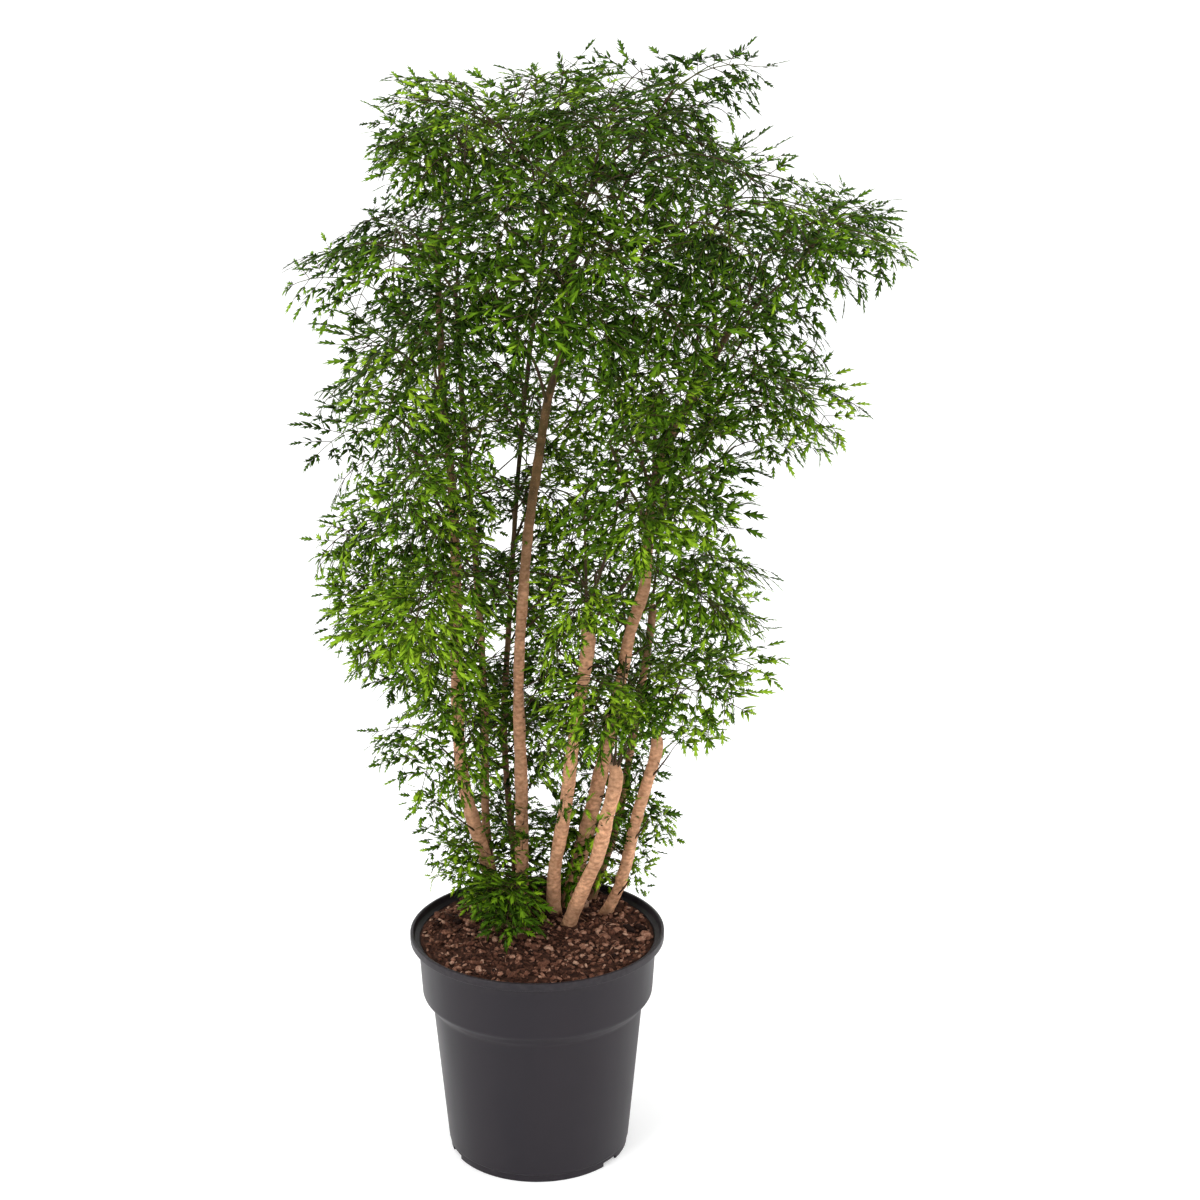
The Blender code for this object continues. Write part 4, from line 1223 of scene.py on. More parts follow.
@dataclass(frozen=True)
class TwigRules:
    """Thin twigs with fronds that fill the crown out between the main shoots."""

    count: int = 300
    choices: int = 10
    tries: int = 60
    trunk_step: float = 0.020
    trunk_start: float = 0.025
    trunk_share: float = 0.42
    shoot_shares: tuple = (0.35, 0.60, 0.80, 1.0)
    trunk_reach: tuple = (0.020, 0.095)
    shoot_reach: tuple = (0.006, 0.050)
    rise: tuple = (0.20, 1.00)
    turn_spread: float = 1.3
    frond_turn: float = 0.6
    length_span: tuple = (0.115, 0.170)
    low_z: float = 0.47
    low_length_span: tuple = (0.060, 0.092)
    least_z: float = 0.296
    cell: float = 0.017
    goals: tuple = ((0.50, 5.2), (2.0, 5.0))
    cover_goal: float = 3.0
    cover_weight: float = 1.6
    margin: float = 0.045
    margin_share: float = 0.50
    side_weight: float = 0.35
    top_weight: float = 0.20
    low_reach: float = 0.5
    frond_pitch: tuple = (-0.25, 0.80)
    frond_curl: tuple = (0.7, 1.4)
    frond_roll: tuple = (-0.7, 0.7)
    first_rise: float = 0.5
    knees: tuple = (0.4, 0.35)
    into_frond: float = 0.08
    steps: int = 4
    rachis_checks: tuple = (0.10, 0.20, 0.30)
    feet_low: tuple = (-1.0, -1.0, 0.0)
    feet_high: tuple = (1.0, 1.0, 2.0)
    inset: float = 0.004

    def feet(self, stems: tuple, shoots: list) -> tuple[list, list]:
        """Places on the trunks and on the shoots that a twig can start from.

        Args:
            stems: The stem plans.
            shoots: The shoots.

        Returns:
            Triples of stem, place and heading outward, for the trunks and for the shoots.
        """
        on_trunks = [(stem, stem.along(height)[0], None) for stem in stems
                     for height in self.heights(stem, self.trunk_step)]
        on_shoots = []
        for shoot in shoots:
            outward = shoot.points[-1] - shoot.points[0]
            length = sum((b - a).length for a, b in zip(shoot.points, shoot.points[1:]))
            for share in self.shoot_shares:
                place = shoot.back_from_tip(length * (1.0 - share))
                on_shoots.append((shoot.stem, place, math.atan2(outward.y, outward.x)))
        return tuple([foot for foot in feet if self.is_within(foot[1], self.feet_low, self.feet_high, 0.0)]
                     for feet in (on_trunks, on_shoots))

    def heights(self, stem: StemPlan, step: float) -> list[float]:
        """Even heights up a stem.

        Args:
            stem: The stem plan.
            step: Distance between them, in metres.

        Returns:
            The heights.
        """
        heights = [stem.route[0][2] + self.trunk_start]
        while heights[-1] + step < stem.route[-1][2]:
            heights.append(heights[-1] + step)
        return heights

    @staticmethod
    def is_within(place: Vector, low: tuple, high: tuple, inset: float) -> bool:
        """Whether a place lies inside a box made smaller all round by an inset."""
        return all(low[k] + inset < place[k] < high[k] - inset for k in range(3))

    def propose(self, feet: tuple, draw: random.Random) -> Twig:
        """A twig with its frond from a random place.

        Args:
            feet: Places on the trunks and on the shoots.
            draw: Source of random numbers.

        Returns:
            The proposed twig.
        """
        if feet[0] and draw.random() < self.trunk_share:
            stem, foot, _ = draw.choice(feet[0])
            azimuth, reach = draw.uniform(-math.pi, math.pi), draw.uniform(*self.trunk_reach)
        else:
            stem, foot, outward = draw.choice(feet[1])
            azimuth = outward + draw.uniform(-self.turn_spread, self.turn_spread)
            reach = draw.uniform(*self.shoot_reach)
        rise = draw.uniform(*self.rise)
        low = foot.z < self.low_z
        if low:
            reach *= self.low_reach
        side = heading_at(azimuth)
        end = foot + side * reach + Vector((0.0, 0.0, reach * rise))
        length = draw.uniform(*(self.low_length_span if low else self.length_span))
        azimuth += draw.uniform(-self.frond_turn, self.frond_turn)
        bends = [draw.uniform(*span) for span in (self.frond_pitch, self.frond_curl, self.frond_roll)]
        frond = Frond(end, azimuth, *bends, length)
        into_frond = (frond.point(self.into_frond, 0.0) - end).normalized()
        span = (end - foot).length
        rising = (side + Vector((0.0, 0.0, self.first_rise * rise))).normalized()
        knees = (foot + rising * (span * self.knees[0]), end - into_frond * (span * self.knees[1]))
        points = tuple(bezier(foot, *knees, end, step / self.steps) for step in range(self.steps + 1))
        return Twig(stem, points, frond)

    def suits(self, twig: Twig, spots: list, sight: Silhouette) -> bool:
        """Whether a twig keeps to the crown's outline, off the soil, and beside the bare trunks.

        Args:
            twig: The twig.
            spots: Points all over its frond.
            sight: What is seen from the front.

        Returns:
            True where it does.
        """
        if min(spot.z for spot in spots) < self.least_z:
            return False
        if not all(self.is_within(spot, *CAD_BOX, self.inset) for spot in spots):
            return False
        if not all(sight.holds(spot) and not sight.hides_trunk(spot, True) for spot in spots):
            return False
        rachis = [twig.frond.point(share, 0.0) for share in self.rachis_checks]
        if any(sight.hides_trunk(spot, True) for spot in twig.points[1:] + tuple(rachis)):
            return False
        return not any(sight.is_in(spot, sight.sparse) for spot in spots)

    def trunk_cells(self, sight: Silhouette) -> dict:
        """The cells that the leafy stretches of the trunks are seen in.

        Args:
            sight: What is seen from the front.

        Returns:
            The trunk's depth by column and row.
        """
        cells = {}
        for stem in sight.stems:
            for height in self.heights(stem, self.cell / 2):
                if not any(low < height < high for low, high in stem.bare):
                    place = stem.along(height)[0]
                    cell = sight.cells_of(place, self.cell)[0][1:]
                    cells[cell] = min(place.y, cells.get(cell, place.y))
        return cells

    def cells(self, spots: list, sight: Silhouette, trunks: dict) -> set:
        """The cells that a frond's points touch, seen from the front, from a side and from above.

        Args:
            spots: Points all over the frond.
            sight: What is seen from the front.
            trunks: Depths of the trunks by cell.

        Returns:
            Triples of view, column and row; the view "cover" is for cells where the frond hides a trunk.
        """
        cells = set()
        for spot in spots:
            touched = sight.cells_of(spot, self.cell)
            cells.update(touched)
            place = touched[0][1:]
            if place in trunks and spot.y < trunks[place]:
                cells.add(("cover", *place))
        return cells

    def goal(self, cell: tuple, sight: Silhouette) -> float:
        """How many layers a cell wants: fewer along the crown's outline.

        Args:
            cell: Its view, column and row.
            sight: What is seen from the front.

        Returns:
            The number of layers.
        """
        view, column, row = cell
        if view == "cover":
            return self.cover_goal
        wanted = next(layer for top, layer in self.goals if row * self.cell < top)
        if view == "front":
            depth = sight.inset((column + 0.5) * self.cell, (row + 0.5) * self.cell)
            wanted *= self.margin_share + (1.0 - self.margin_share) * min(1.0, depth / self.margin)
        return wanted

    def weigh(self, cells: set, layers: dict, goals: dict, sight: Silhouette) -> float:
        """How much room a frond fills: cells with fewer layers than wanted count the most.

        Args:
            cells: The cells that the frond touches.
            layers: Layers placed so far, by cell.
            goals: Layers wanted, by cell, filled in as needed.
            sight: What is seen from the front.

        Returns:
            The weight.
        """
        gains = []
        weights = {"front": 1.0, "cover": self.cover_weight, "side": self.side_weight, "top": self.top_weight}
        for cell in cells:
            if cell not in goals:
                goals[cell] = self.goal(cell, sight)
            share = max(0.0, goals[cell] - layers.get(cell, 0)) / goals[cell]
            gains.append(share * share * weights[cell[0]])
        return math.fsum(gains)

    def grow(self, stems: tuple, shoots: list, fronds: list, rules: FrondRules, sight: Silhouette,
             draw: random.Random) -> list:
        """Choose twigs one by one where the crown is thinnest.

        Args:
            stems: The stem plans.
            shoots: The shoots.
            fronds: Pairs of stem and main frond.
            rules: The rules of the main fronds.
            sight: What is seen from the front.
            draw: Source of random numbers.

        Returns:
            The twigs.
        """
        feet = self.feet(stems, shoots)
        layers, goals = {}, {}
        trunks = self.trunk_cells(sight)
        for _, frond in fronds:
            for cell in self.cells(rules.checkpoints(frond), sight, trunks):
                layers[cell] = layers.get(cell, 0) + 1
        twigs = []
        for _ in range(self.count):
            best, best_cells, best_weight, choices = None, set(), -1.0, 0
            for _ in range(self.tries):
                twig = self.propose(feet, draw)
                spots = rules.checkpoints(twig.frond)
                if not self.suits(twig, spots, sight):
                    continue
                cells = self.cells(spots, sight, trunks)
                weight = self.weigh(cells, layers, goals, sight)
                if weight > best_weight:
                    best, best_cells, best_weight = twig, cells, weight
                choices += 1
                if choices == self.choices:
                    break
            if best:
                twigs.append(best)
                for cell in best_cells:
                    layers[cell] = layers.get(cell, 0) + 1
        return twigs


@dataclass(frozen=True)
class SprigRow:
    """A few small young fronds low on one stem, each value drawn from its own span."""

    stem: str
    count: int
    heights: tuple
    turns: tuple
    reaches: tuple = (0.010, 0.016)
    pitches: tuple = (0.30, 0.90)
    lengths: tuple = (0.045, 0.060)
    rolls: tuple = (-0.4, 0.4)
    curls: tuple = (0.7, 1.1)
    rise: float = 0.5
    clear_of: tuple = ()
    least_z: float = 0.294
    tries: int = 40

    def grow(self, stems: tuple, rules: FrondRules, sight: Silhouette, draw: random.Random) -> list:
        """Set the sprigs, none of them in the soil or before a trunk that the row keeps clear of.

        Args:
            stems: The stem plans.
            rules: The rules of the main fronds.
            sight: What is seen from the front.
            draw: Source of random numbers.

        Returns:
            The sprigs, as twigs.
        """
        stem = next(plan for plan in stems if plan.name == self.stem)
        sprigs = []
        for _ in range(self.count * self.tries):
            foot = stem.along(draw.uniform(*self.heights))[0]
            turn, pitch, reach = (draw.uniform(*span) for span in (self.turns, self.pitches, self.reaches))
            azimuth = math.radians(turn)
            end = foot + heading_at(azimuth) * reach + Vector((0.0, 0.0, reach * self.rise))
            bends = [draw.uniform(*span) for span in (self.curls, self.rolls, self.lengths)]
            frond = Frond(end, azimuth, pitch, *bends)
            spots = rules.checkpoints(frond)
            hidden = self.clear_of and any(sight.hides_trunk(spot, True, self.clear_of) for spot in spots)
            if not hidden and min(spot.z for spot in spots) > self.least_z:
                sprigs.append(Twig(stem, (foot, foot.lerp(end, 0.5), end), frond))
            if len(sprigs) == self.count:
                break
        return sprigs


TWIG_RULES = (
    TwigRules(),
    TwigRules(count=44, trunk_share=0.75, goals=((2.0, 7.0),), feet_high=(1.0, 1.0, 0.50)),
    TwigRules(count=8, goals=((2.0, 7.0),), feet_low=(0.24, -1.0, 1.09), length_span=(0.10, 0.14)),
    TwigRules(count=18, goals=((2.0, 7.0),), feet_low=(-0.20, -1.0, 1.22), length_span=(0.09, 0.14),
              margin=0.02),
    TwigRules(count=9, goals=((2.0, 7.0),), feet_low=(0.02, -1.0, 0.52), feet_high=(0.20, 0.12, 0.80)),
    TwigRules(count=6, goals=((2.0, 7.0),), feet_low=(-0.20, -1.0, 0.45), feet_high=(-0.04, 0.12, 0.62)),
)
LOW_TRUNKS = ("stem_middle", "stem_front", "stem_right")
SPRIG_ROWS = (
    SprigRow("stem_tall", 12, (0.300, 0.345), (-178, -30), (0.015, 0.055), (0.10, 0.90), (0.055, 0.078),
             clear_of=LOW_TRUNKS),
    SprigRow("stem_tall", 7, (0.330, 0.400), (-130, -60), (0.012, 0.028), (0.60, 1.20), (0.051, 0.066),
             clear_of=LOW_TRUNKS),
    SprigRow("stem_tall", 4, (0.300, 0.380), (20, 80), (0.010, 0.020), clear_of=LOW_TRUNKS),
    SprigRow("stem_left", 6, (0.310, 0.380), (-150, -50), (0.012, 0.040), (0.20, 0.90), (0.052, 0.070)),
    SprigRow("stem_middle", 3, (0.425, 0.470), (-130, -50), pitches=(0.50, 1.00), lengths=(0.040, 0.052)),
    SprigRow("stem_middle", 3, (0.300, 0.400), (30, 110), (0.012, 0.030), clear_of=LOW_TRUNKS),
    SprigRow("stem_front", 2, (0.430, 0.450), (-140, -60), lengths=(0.034, 0.044)),
    SprigRow("stem_right", 9, (0.310, 0.440), (-140, 20), (0.012, 0.028), lengths=(0.045, 0.064),
             clear_of=LOW_TRUNKS),
    SprigRow("stem_right_low", 1, (0.392, 0.396), (-16, -6), pitches=(0.40, 0.46), lengths=(0.049, 0.050),
             rolls=(0.95, 1.05)),
    SprigRow("stem_right_low", 1, (0.318, 0.322), (-8, 4), pitches=(0.20, 0.28), lengths=(0.034, 0.036),
             rolls=(0.95, 1.05)),
    SprigRow("stem_right_low", 3, (0.345, 0.400), (-170, -80), lengths=(0.036, 0.048)),
    SprigRow("stem_tall", 3, (0.520, 0.590), (-150, -40), lengths=(0.044, 0.056)),
)


# Finishes

@dataclass
class Bench:
    """A node tree at work."""

    tree: bpy.types.NodeTree

    def add(self, kind: str, **settings: object) -> bpy.types.Node:
        """Add a node.

        Args:
            kind: Its type.
            **settings: Its properties.

        Returns:
            The node.
        """
        node = self.tree.nodes.new(kind)
        for name, value in settings.items():
            setattr(node, name, value)
        return node

    def join(self, source: bpy.types.NodeSocket, target: bpy.types.NodeSocket) -> None:
        """Link two sockets."""
        self.tree.links.new(source, target)

    def feed(self, value: object, socket: bpy.types.NodeSocket) -> None:
        """Set a socket to a value, or link it to another socket.

        Args:
            value: The value or the other socket.
            socket: The socket to feed.
        """
        if isinstance(value, bpy.types.NodeSocket):
            self.join(value, socket)
        else:
            socket.default_value = value

    def fed(self, node: bpy.types.Node, **values: object) -> bpy.types.Node:
        """Feed a node's inputs by name; an underscore in a name stands for a space.

        Args:
            node: The node.
            **values: Sockets or plain values.

        Returns:
            The node.
        """
        for name, value in values.items():
            self.feed(value, node.inputs[name.replace("_", " ")])
        return node

    def placed(self, group: bpy.types.NodeTree, **values: object) -> bpy.types.Node:
        """A node group with its own values."""
        return self.fed(self.add("ShaderNodeGroup", node_tree=group), **values)

    def maths(self, operation: str, first: object, second: object,
              clamp: bool = False) -> bpy.types.NodeSocket:
        """A Math node.

        Args:
            operation: What it does.
            first: Its first socket or number.
            second: Its second socket or number.
            clamp: Whether its result is held between 0 and 1.

        Returns:
            Its result.
        """
        node = self.add("ShaderNodeMath", operation=operation, use_clamp=clamp)
        for socket, value in zip(node.inputs, (first, second)):
            self.feed(value, socket)
        return node.outputs[0]

    def blend(self, share: object, first: object, second: object) -> bpy.types.NodeSocket:
        """A mix of two colours.

        Args:
            share: Share of the second colour, as a socket or a number.
            first: The first colour or its socket.
            second: The second colour or its socket.

        Returns:
            The mixed colour.
        """
        node = self.add("ShaderNodeMix", data_type="RGBA")
        self.feed(share, node.inputs["Factor"])
        self.feed(first, node.inputs[6])
        self.feed(second, node.inputs[7])
        return node.outputs[2]

    def masked(self, mask: object, share: float, first: object, second: object) -> bpy.types.NodeSocket:
        """A mix of two colours by a share of a mask."""
        return self.blend(self.maths("MULTIPLY", mask, share), first, second)

    def spread(self, value: object, low: float, high: float, to_low: float = 0.0,
               to_high: float = 1.0) -> bpy.types.NodeSocket:
        """A value moved from one span to another, held to its ends.

        Args:
            value: The value's socket.
            low: Start of its span.
            high: End of its span.
            to_low: Start of the new span.
            to_high: End of the new span.

        Returns:
            The new value.
        """
        node = self.fed(self.add("ShaderNodeMapRange"), Value=value, From_Min=low, From_Max=high,
                        To_Min=to_low, To_Max=to_high)
        return node.outputs["Result"]

    def value_of(self, name: str) -> bpy.types.NodeSocket:
        """A named value of the mesh."""
        return self.add("ShaderNodeAttribute", attribute_name=name).outputs["Fac"]

    def object_z(self) -> bpy.types.NodeSocket:
        """Height in the object's own coordinates.

        Returns:
            The height.
        """
        place = self.add("ShaderNodeTexCoord")
        parts = self.add("ShaderNodeSeparateXYZ")
        self.join(place.outputs["Object"], parts.inputs[0])
        return parts.outputs["Z"]

    def ramp(self, value: bpy.types.NodeSocket, stops: tuple) -> bpy.types.NodeSocket:
        """A colour ramp.

        Args:
            value: Where on the ramp.
            stops: Pairs of place and colour.

        Returns:
            The colour.
        """
        node = self.add("ShaderNodeValToRGB")
        elements = node.color_ramp.elements
        while len(elements) < len(stops):
            elements.new(0.5)
        for element, (place, colour) in zip(elements, stops):
            element.position = place
            element.color = (*colour, 1.0)
        self.join(value, node.inputs["Fac"])
        return node.outputs["Color"]


class Effects:
    """The shader effects that several finishes share, each a node group."""

    def __init__(self) -> None:
        """Build the groups."""
        self.mottle = self.make_mottle()
        self.grain = self.make_grain()
        self.specks = self.make_specks()

    @staticmethod
    def new_group(name: str, inputs: tuple, outputs: tuple) -> tuple:
        """A shader node group that stretches the object's coordinates.

        Args:
            name: The group's name.
            inputs: Triples of name, socket type and value, beside Scale and Stretch.
            outputs: Pairs of name and socket type.

        Returns:
            The group, its bench, its input and output nodes, and the stretched coordinates.
        """
        group = bpy.data.node_groups.new(name, "ShaderNodeTree")
        shared = (("Scale", "NodeSocketFloat", 100.0), ("Stretch", "NodeSocketVector", (1.0, 1.0, 1.0)))
        for label, kind, value in shared + inputs:
            socket = group.interface.new_socket(name=label, in_out="INPUT", socket_type=kind)
            socket.default_value = value
        for label, kind in outputs:
            group.interface.new_socket(name=label, in_out="OUTPUT", socket_type=kind)
        bench = Bench(group)
        source = bench.add("NodeGroupInput")
        place = bench.add("ShaderNodeTexCoord")
        stretch = bench.add("ShaderNodeVectorMath", operation="MULTIPLY")
        bench.join(place.outputs["Object"], stretch.inputs[0])
        bench.join(source.outputs["Stretch"], stretch.inputs[1])
        return group, bench, source.outputs, bench.add("NodeGroupOutput").inputs, stretch.outputs[0]

    def make_mottle(self) -> bpy.types.NodeTree:
        """Soft patches of a second colour.

        Returns:
            The group.
        """
        group, bench, source, result, place = self.new_group(
            "soft_mottle",
            (("Ground", "NodeSocketColor", (0.5, 0.5, 0.5, 1.0)),
             ("Patch", "NodeSocketColor", (0.2, 0.2, 0.2, 1.0)), ("Detail", "NodeSocketFloat", 4.0)),
            (("Colour", "NodeSocketColor"), ("Mask", "NodeSocketFloat")))
        patches = bench.fed(bench.add("ShaderNodeTexNoise"), Vector=place, Scale=source["Scale"],
                            Detail=source["Detail"])
        mask = bench.spread(patches.outputs["Fac"], 0.34, 0.66)
        bench.join(bench.blend(mask, source["Ground"], source["Patch"]), result["Colour"])
        bench.join(mask, result["Mask"])
        return group

    def make_grain(self) -> bpy.types.NodeTree:
        """Fine relief: a height from two sizes of noise.

        Returns:
            The group.
        """
        group, bench, source, result, place = self.new_group(
            "fine_grain", (("Coarse", "NodeSocketFloat", 0.5),), (("Height", "NodeSocketFloat"),))
        fine = bench.fed(bench.add("ShaderNodeTexNoise"), Vector=place, Scale=source["Scale"], Detail=3.0)
        wide = bench.fed(bench.add("ShaderNodeTexNoise"), Vector=place, Detail=2.0,
                         Scale=bench.maths("MULTIPLY", source["Scale"], 0.22))
        weighed = bench.maths("MULTIPLY", wide.outputs["Fac"], source["Coarse"])
        bench.join(bench.maths("ADD", fine.outputs["Fac"], weighed), result["Height"])
        return group

    def make_specks(self) -> bpy.types.NodeTree:
        """Small spots, as a mask.

        Returns:
            The group.
        """
        group, bench, source, result, place = self.new_group(
            "small_specks", (("Size", "NodeSocketFloat", 0.2),), (("Mask", "NodeSocketFloat"),))
        cells = bench.fed(bench.add("ShaderNodeTexVoronoi"), Vector=place, Scale=source["Scale"])
        inside = bench.maths("SUBTRACT", source["Size"], cells.outputs["Distance"])
        bench.join(bench.maths("MULTIPLY", inside, 12.0, clamp=True), result["Mask"])
        return group


@dataclass(frozen=True)
class Finish:
    """A finish with its name and its plain values."""

    name: str
    roughness: float
    gloss: float = 0.5
    bump: float = 0.0
    bump_depth: float = 0.0004

    def start(self) -> tuple[bpy.types.Material, Bench, bpy.types.Node]:
        """Start a material.

        Returns:
            The material, its bench and its Principled BSDF.
        """
        material = bpy.data.materials.new(self.name)
        material.use_nodes = True
        bench = Bench(material.node_tree)
        shader = bench.fed(material.node_tree.nodes["Principled BSDF"], Roughness=self.roughness,
                           Specular_IOR_Level=self.gloss)
        return material, bench, shader

    def add_bump(self, bench: Bench, shader: bpy.types.Node, height: bpy.types.NodeSocket) -> None:
        """Give the shader a relief.

        Args:
            bench: The material's bench.
            shader: Its Principled BSDF.
            height: The relief's height.
        """
        node = bench.fed(bench.add("ShaderNodeBump"), Strength=self.bump, Distance=self.bump_depth,
                         Height=height)
        bench.join(node.outputs["Normal"], shader.inputs["Normal"])

    def add_sheen(self, bench: Bench, shader: bpy.types.Node, mask: bpy.types.NodeSocket, less: float,
                  more: float) -> None:
        """Let the roughness sway with a mask.

        Args:
            bench: The material's bench.
            shader: Its Principled BSDF.
            mask: The mask.
            less: How far the roughness falls.
            more: How far it rises.
        """
        swayed = bench.spread(mask, 0.0, 1.0, self.roughness - less, self.roughness + more)
        bench.join(swayed, shader.inputs["Roughness"])


@dataclass(frozen=True)
class PotPlastic(Finish):
    """Dark moulded plastic with a satin sheen, faint flow marks, dust and small scuffs."""

    ground: tuple = (0.0098, 0.0072, 0.0112, 1.0)
    patch: tuple = (0.0140, 0.0104, 0.0142, 1.0)
    scuff: tuple = (0.10, 0.10, 0.13, 1.0)
    dust: tuple = (0.060, 0.055, 0.055, 1.0)
    dust_low_z: float = 0.268
    dust_high_z: float = 0.300

    def make(self, effects: Effects) -> bpy.types.Material:
        """Build the material.

        Args:
            effects: The shared node groups.

        Returns:
            The material.
        """
        material, bench, shader = self.start()
        flow = bench.placed(effects.mottle, Ground=self.ground, Patch=self.patch, Scale=10.0,
                            Stretch=(1.0, 1.0, 0.22))
        scuffs = bench.placed(effects.specks, Scale=16.0, Stretch=(1.0, 1.0, 0.45), Size=0.055)
        colour = bench.masked(scuffs.outputs["Mask"], 0.55, flow.outputs["Colour"], self.scuff)
        powder = bench.placed(effects.mottle, Scale=150.0, Detail=6.0)
        lip = bench.spread(bench.object_z(), self.dust_low_z, self.dust_high_z, 0.0, 0.30)
        dusty = bench.maths("MULTIPLY", lip, powder.outputs["Mask"])
        bench.join(bench.blend(dusty, colour, self.dust), shader.inputs["Base Color"])
        self.add_sheen(bench, shader, flow.outputs["Mask"], 0.05, 0.07)
        grain = bench.placed(effects.grain, Scale=900.0, Coarse=0.8)
        self.add_bump(bench, shader, grain.outputs["Height"])
        return material


@dataclass(frozen=True)
class ToneFinish(Finish):
    """A finish whose colour follows each part's own tone, with soft patches and a fine grain."""

    stops: tuple = ()
    patch_scale: float = 100.0
    patch_detail: float = 4.0
    sway: tuple = (-0.1, 0.1)
    sheen: tuple = ()
    grain_scale: float = 900.0
    coarse: float = 0.5

    def tone(self, bench: Bench) -> bpy.types.NodeSocket:
        """The tone before the patches sway it."""
        return bench.value_of("tone")

    def coloured(self, bench: Bench, colour: bpy.types.NodeSocket) -> bpy.types.NodeSocket:
        """The whole colour, from the one that the tone gives."""
        return colour

    def make(self, effects: Effects) -> bpy.types.Material:
        """Build the material.

        Args:
            effects: The shared node groups.

        Returns:
            The material.
        """
        material, bench, shader = self.start()
        patchy = bench.placed(effects.mottle, Scale=self.patch_scale, Detail=self.patch_detail)
        sway = bench.spread(patchy.outputs["Mask"], 0.0, 1.0, *self.sway)
        tone = bench.maths("ADD", self.tone(bench), sway, clamp=True)
        bench.join(self.coloured(bench, bench.ramp(tone, self.stops)), shader.inputs["Base Color"])
        if self.sheen:
            self.add_sheen(bench, shader, patchy.outputs["Mask"], *self.sheen)
        grain = bench.placed(effects.grain, Scale=self.grain_scale, Coarse=self.coarse)
        self.add_bump(bench, shader, grain.outputs["Height"])
        return material


@dataclass(frozen=True)
class PottingMix(ToneFinish):
    """Crumbs, chips and fibres of bark and coir, from near black to tan by each one's tone."""

    stops: tuple = ((0.0, (0.011, 0.0045, 0.003)), (0.32, (0.044, 0.017, 0.010)),
                    (0.60, (0.135, 0.056, 0.034)), (0.84, (0.300, 0.150, 0.098)), (1.0, (0.44, 0.27, 0.19)))
    patch_scale: float = 420.0
    patch_detail: float = 5.0
    sway: tuple = (-0.14, 0.12)
    coarse: float = 1.2


@dataclass(frozen=True)
class StalkGreen(ToneFinish):
    """Thin leaf stalks, from purple-brown to green by each one's tone."""

    stops: tuple = ((0.0, (0.040, 0.019, 0.014)), (0.5, (0.055, 0.045, 0.012)), (1.0, (0.060, 0.105, 0.012)))
    patch_scale: float = 120.0
    sway: tuple = (-0.2, 0.2)
    grain_scale: float = 1200.0


@dataclass(frozen=True)
class Bark(Finish):
    """Pinkish tan bark with rings and pale pores, browner and greener on young wood, darker in painted shade.
    """

    ground: tuple = (0.82, 0.450, 0.265, 1.0)
    patch: tuple = (0.400, 0.190, 0.100, 1.0)
    blotch: tuple = (0.230, 0.130, 0.070, 1.0)
    # Upper bark: greener as younger wood, and much darker as painted shade inside the crown.
    young_shaded_ground: tuple = (0.190, 0.105, 0.046, 1.0)
    young_shaded_patch: tuple = (0.070, 0.048, 0.014, 1.0)
    twig_ground: tuple = (0.060, 0.048, 0.016, 1.0)
    twig_patch: tuple = (0.048, 0.024, 0.018, 1.0)
    pore: tuple = (0.55, 0.36, 0.24, 1.0)
    crack: tuple = (0.115, 0.058, 0.034, 1.0)
    cut: tuple = (0.60, 0.39, 0.25, 1.0)
    # Painted shade at the stems' feet, just above the soil.
    foot_shade: tuple = (0.075, 0.045, 0.024, 1.0)
    low_z: float = 0.66
    high_z: float = 0.86
    foot_shade_low_z: float = 0.288
    foot_shade_top_z: float = 0.330

    def make(self, effects: Effects) -> bpy.types.Material:
        """Build the material.

        Args:
            effects: The shared node groups.

        Returns:
            The material.
        """
        material, bench, shader = self.start()
        low = bench.placed(effects.mottle, Ground=self.ground, Patch=self.patch, Scale=170.0, Detail=6.0,
                           Stretch=(1.0, 1.0, 1.5))
        blotches = bench.placed(effects.mottle, Scale=34.0, Detail=4.0, Stretch=(1.0, 1.0, 0.8))
        high = bench.placed(effects.mottle, Ground=self.young_shaded_ground, Patch=self.young_shaded_patch, Scale=60.0,
                            Detail=5.0, Stretch=(1.0, 1.0, 1.4))
        twig = bench.placed(effects.mottle, Ground=self.twig_ground, Patch=self.twig_patch, Scale=40.0)
        pores = bench.placed(effects.specks, Scale=330.0, Stretch=(1.0, 1.0, 1.8), Size=0.24)
        height = bench.object_z()
        warm = bench.masked(blotches.outputs["Mask"], 0.42, low.outputs["Colour"], self.blotch)
        # Painted shade: the bark turns darker up in the crown, along with its greener younger colour.
        colour = bench.blend(bench.spread(height, self.low_z, self.high_z), warm, high.outputs["Colour"])
        colour = bench.masked(pores.outputs["Mask"], 0.30, colour, self.pore)
        colour = bench.masked(bench.value_of("ring"), 0.34, colour, self.crack)
        # Painted shade: patchy darkening towards the soil at each stem's foot.
        foot_shade_mask = bench.spread(height, self.foot_shade_low_z, self.foot_shade_top_z, 0.50, 0.0)
        colour = bench.blend(bench.maths("MULTIPLY", foot_shade_mask, blotches.outputs["Mask"]), colour, self.foot_shade)
        # This value also carries painted shade: stems in shade have it capped, so their bark is darker.
        colour = bench.blend(bench.value_of("age"), twig.outputs["Colour"], colour)
        colour = bench.blend(bench.value_of("cut"), colour, self.cut)
        bench.join(colour, shader.inputs["Base Color"])
        grain = bench.placed(effects.grain, Scale=520.0, Stretch=(1.0, 1.0, 1.5), Coarse=1.6)
        raised = bench.maths("MULTIPLY", pores.outputs["Mask"], 0.35)
        self.add_bump(bench, shader, bench.maths("ADD", grain.outputs["Height"], raised))
        return material


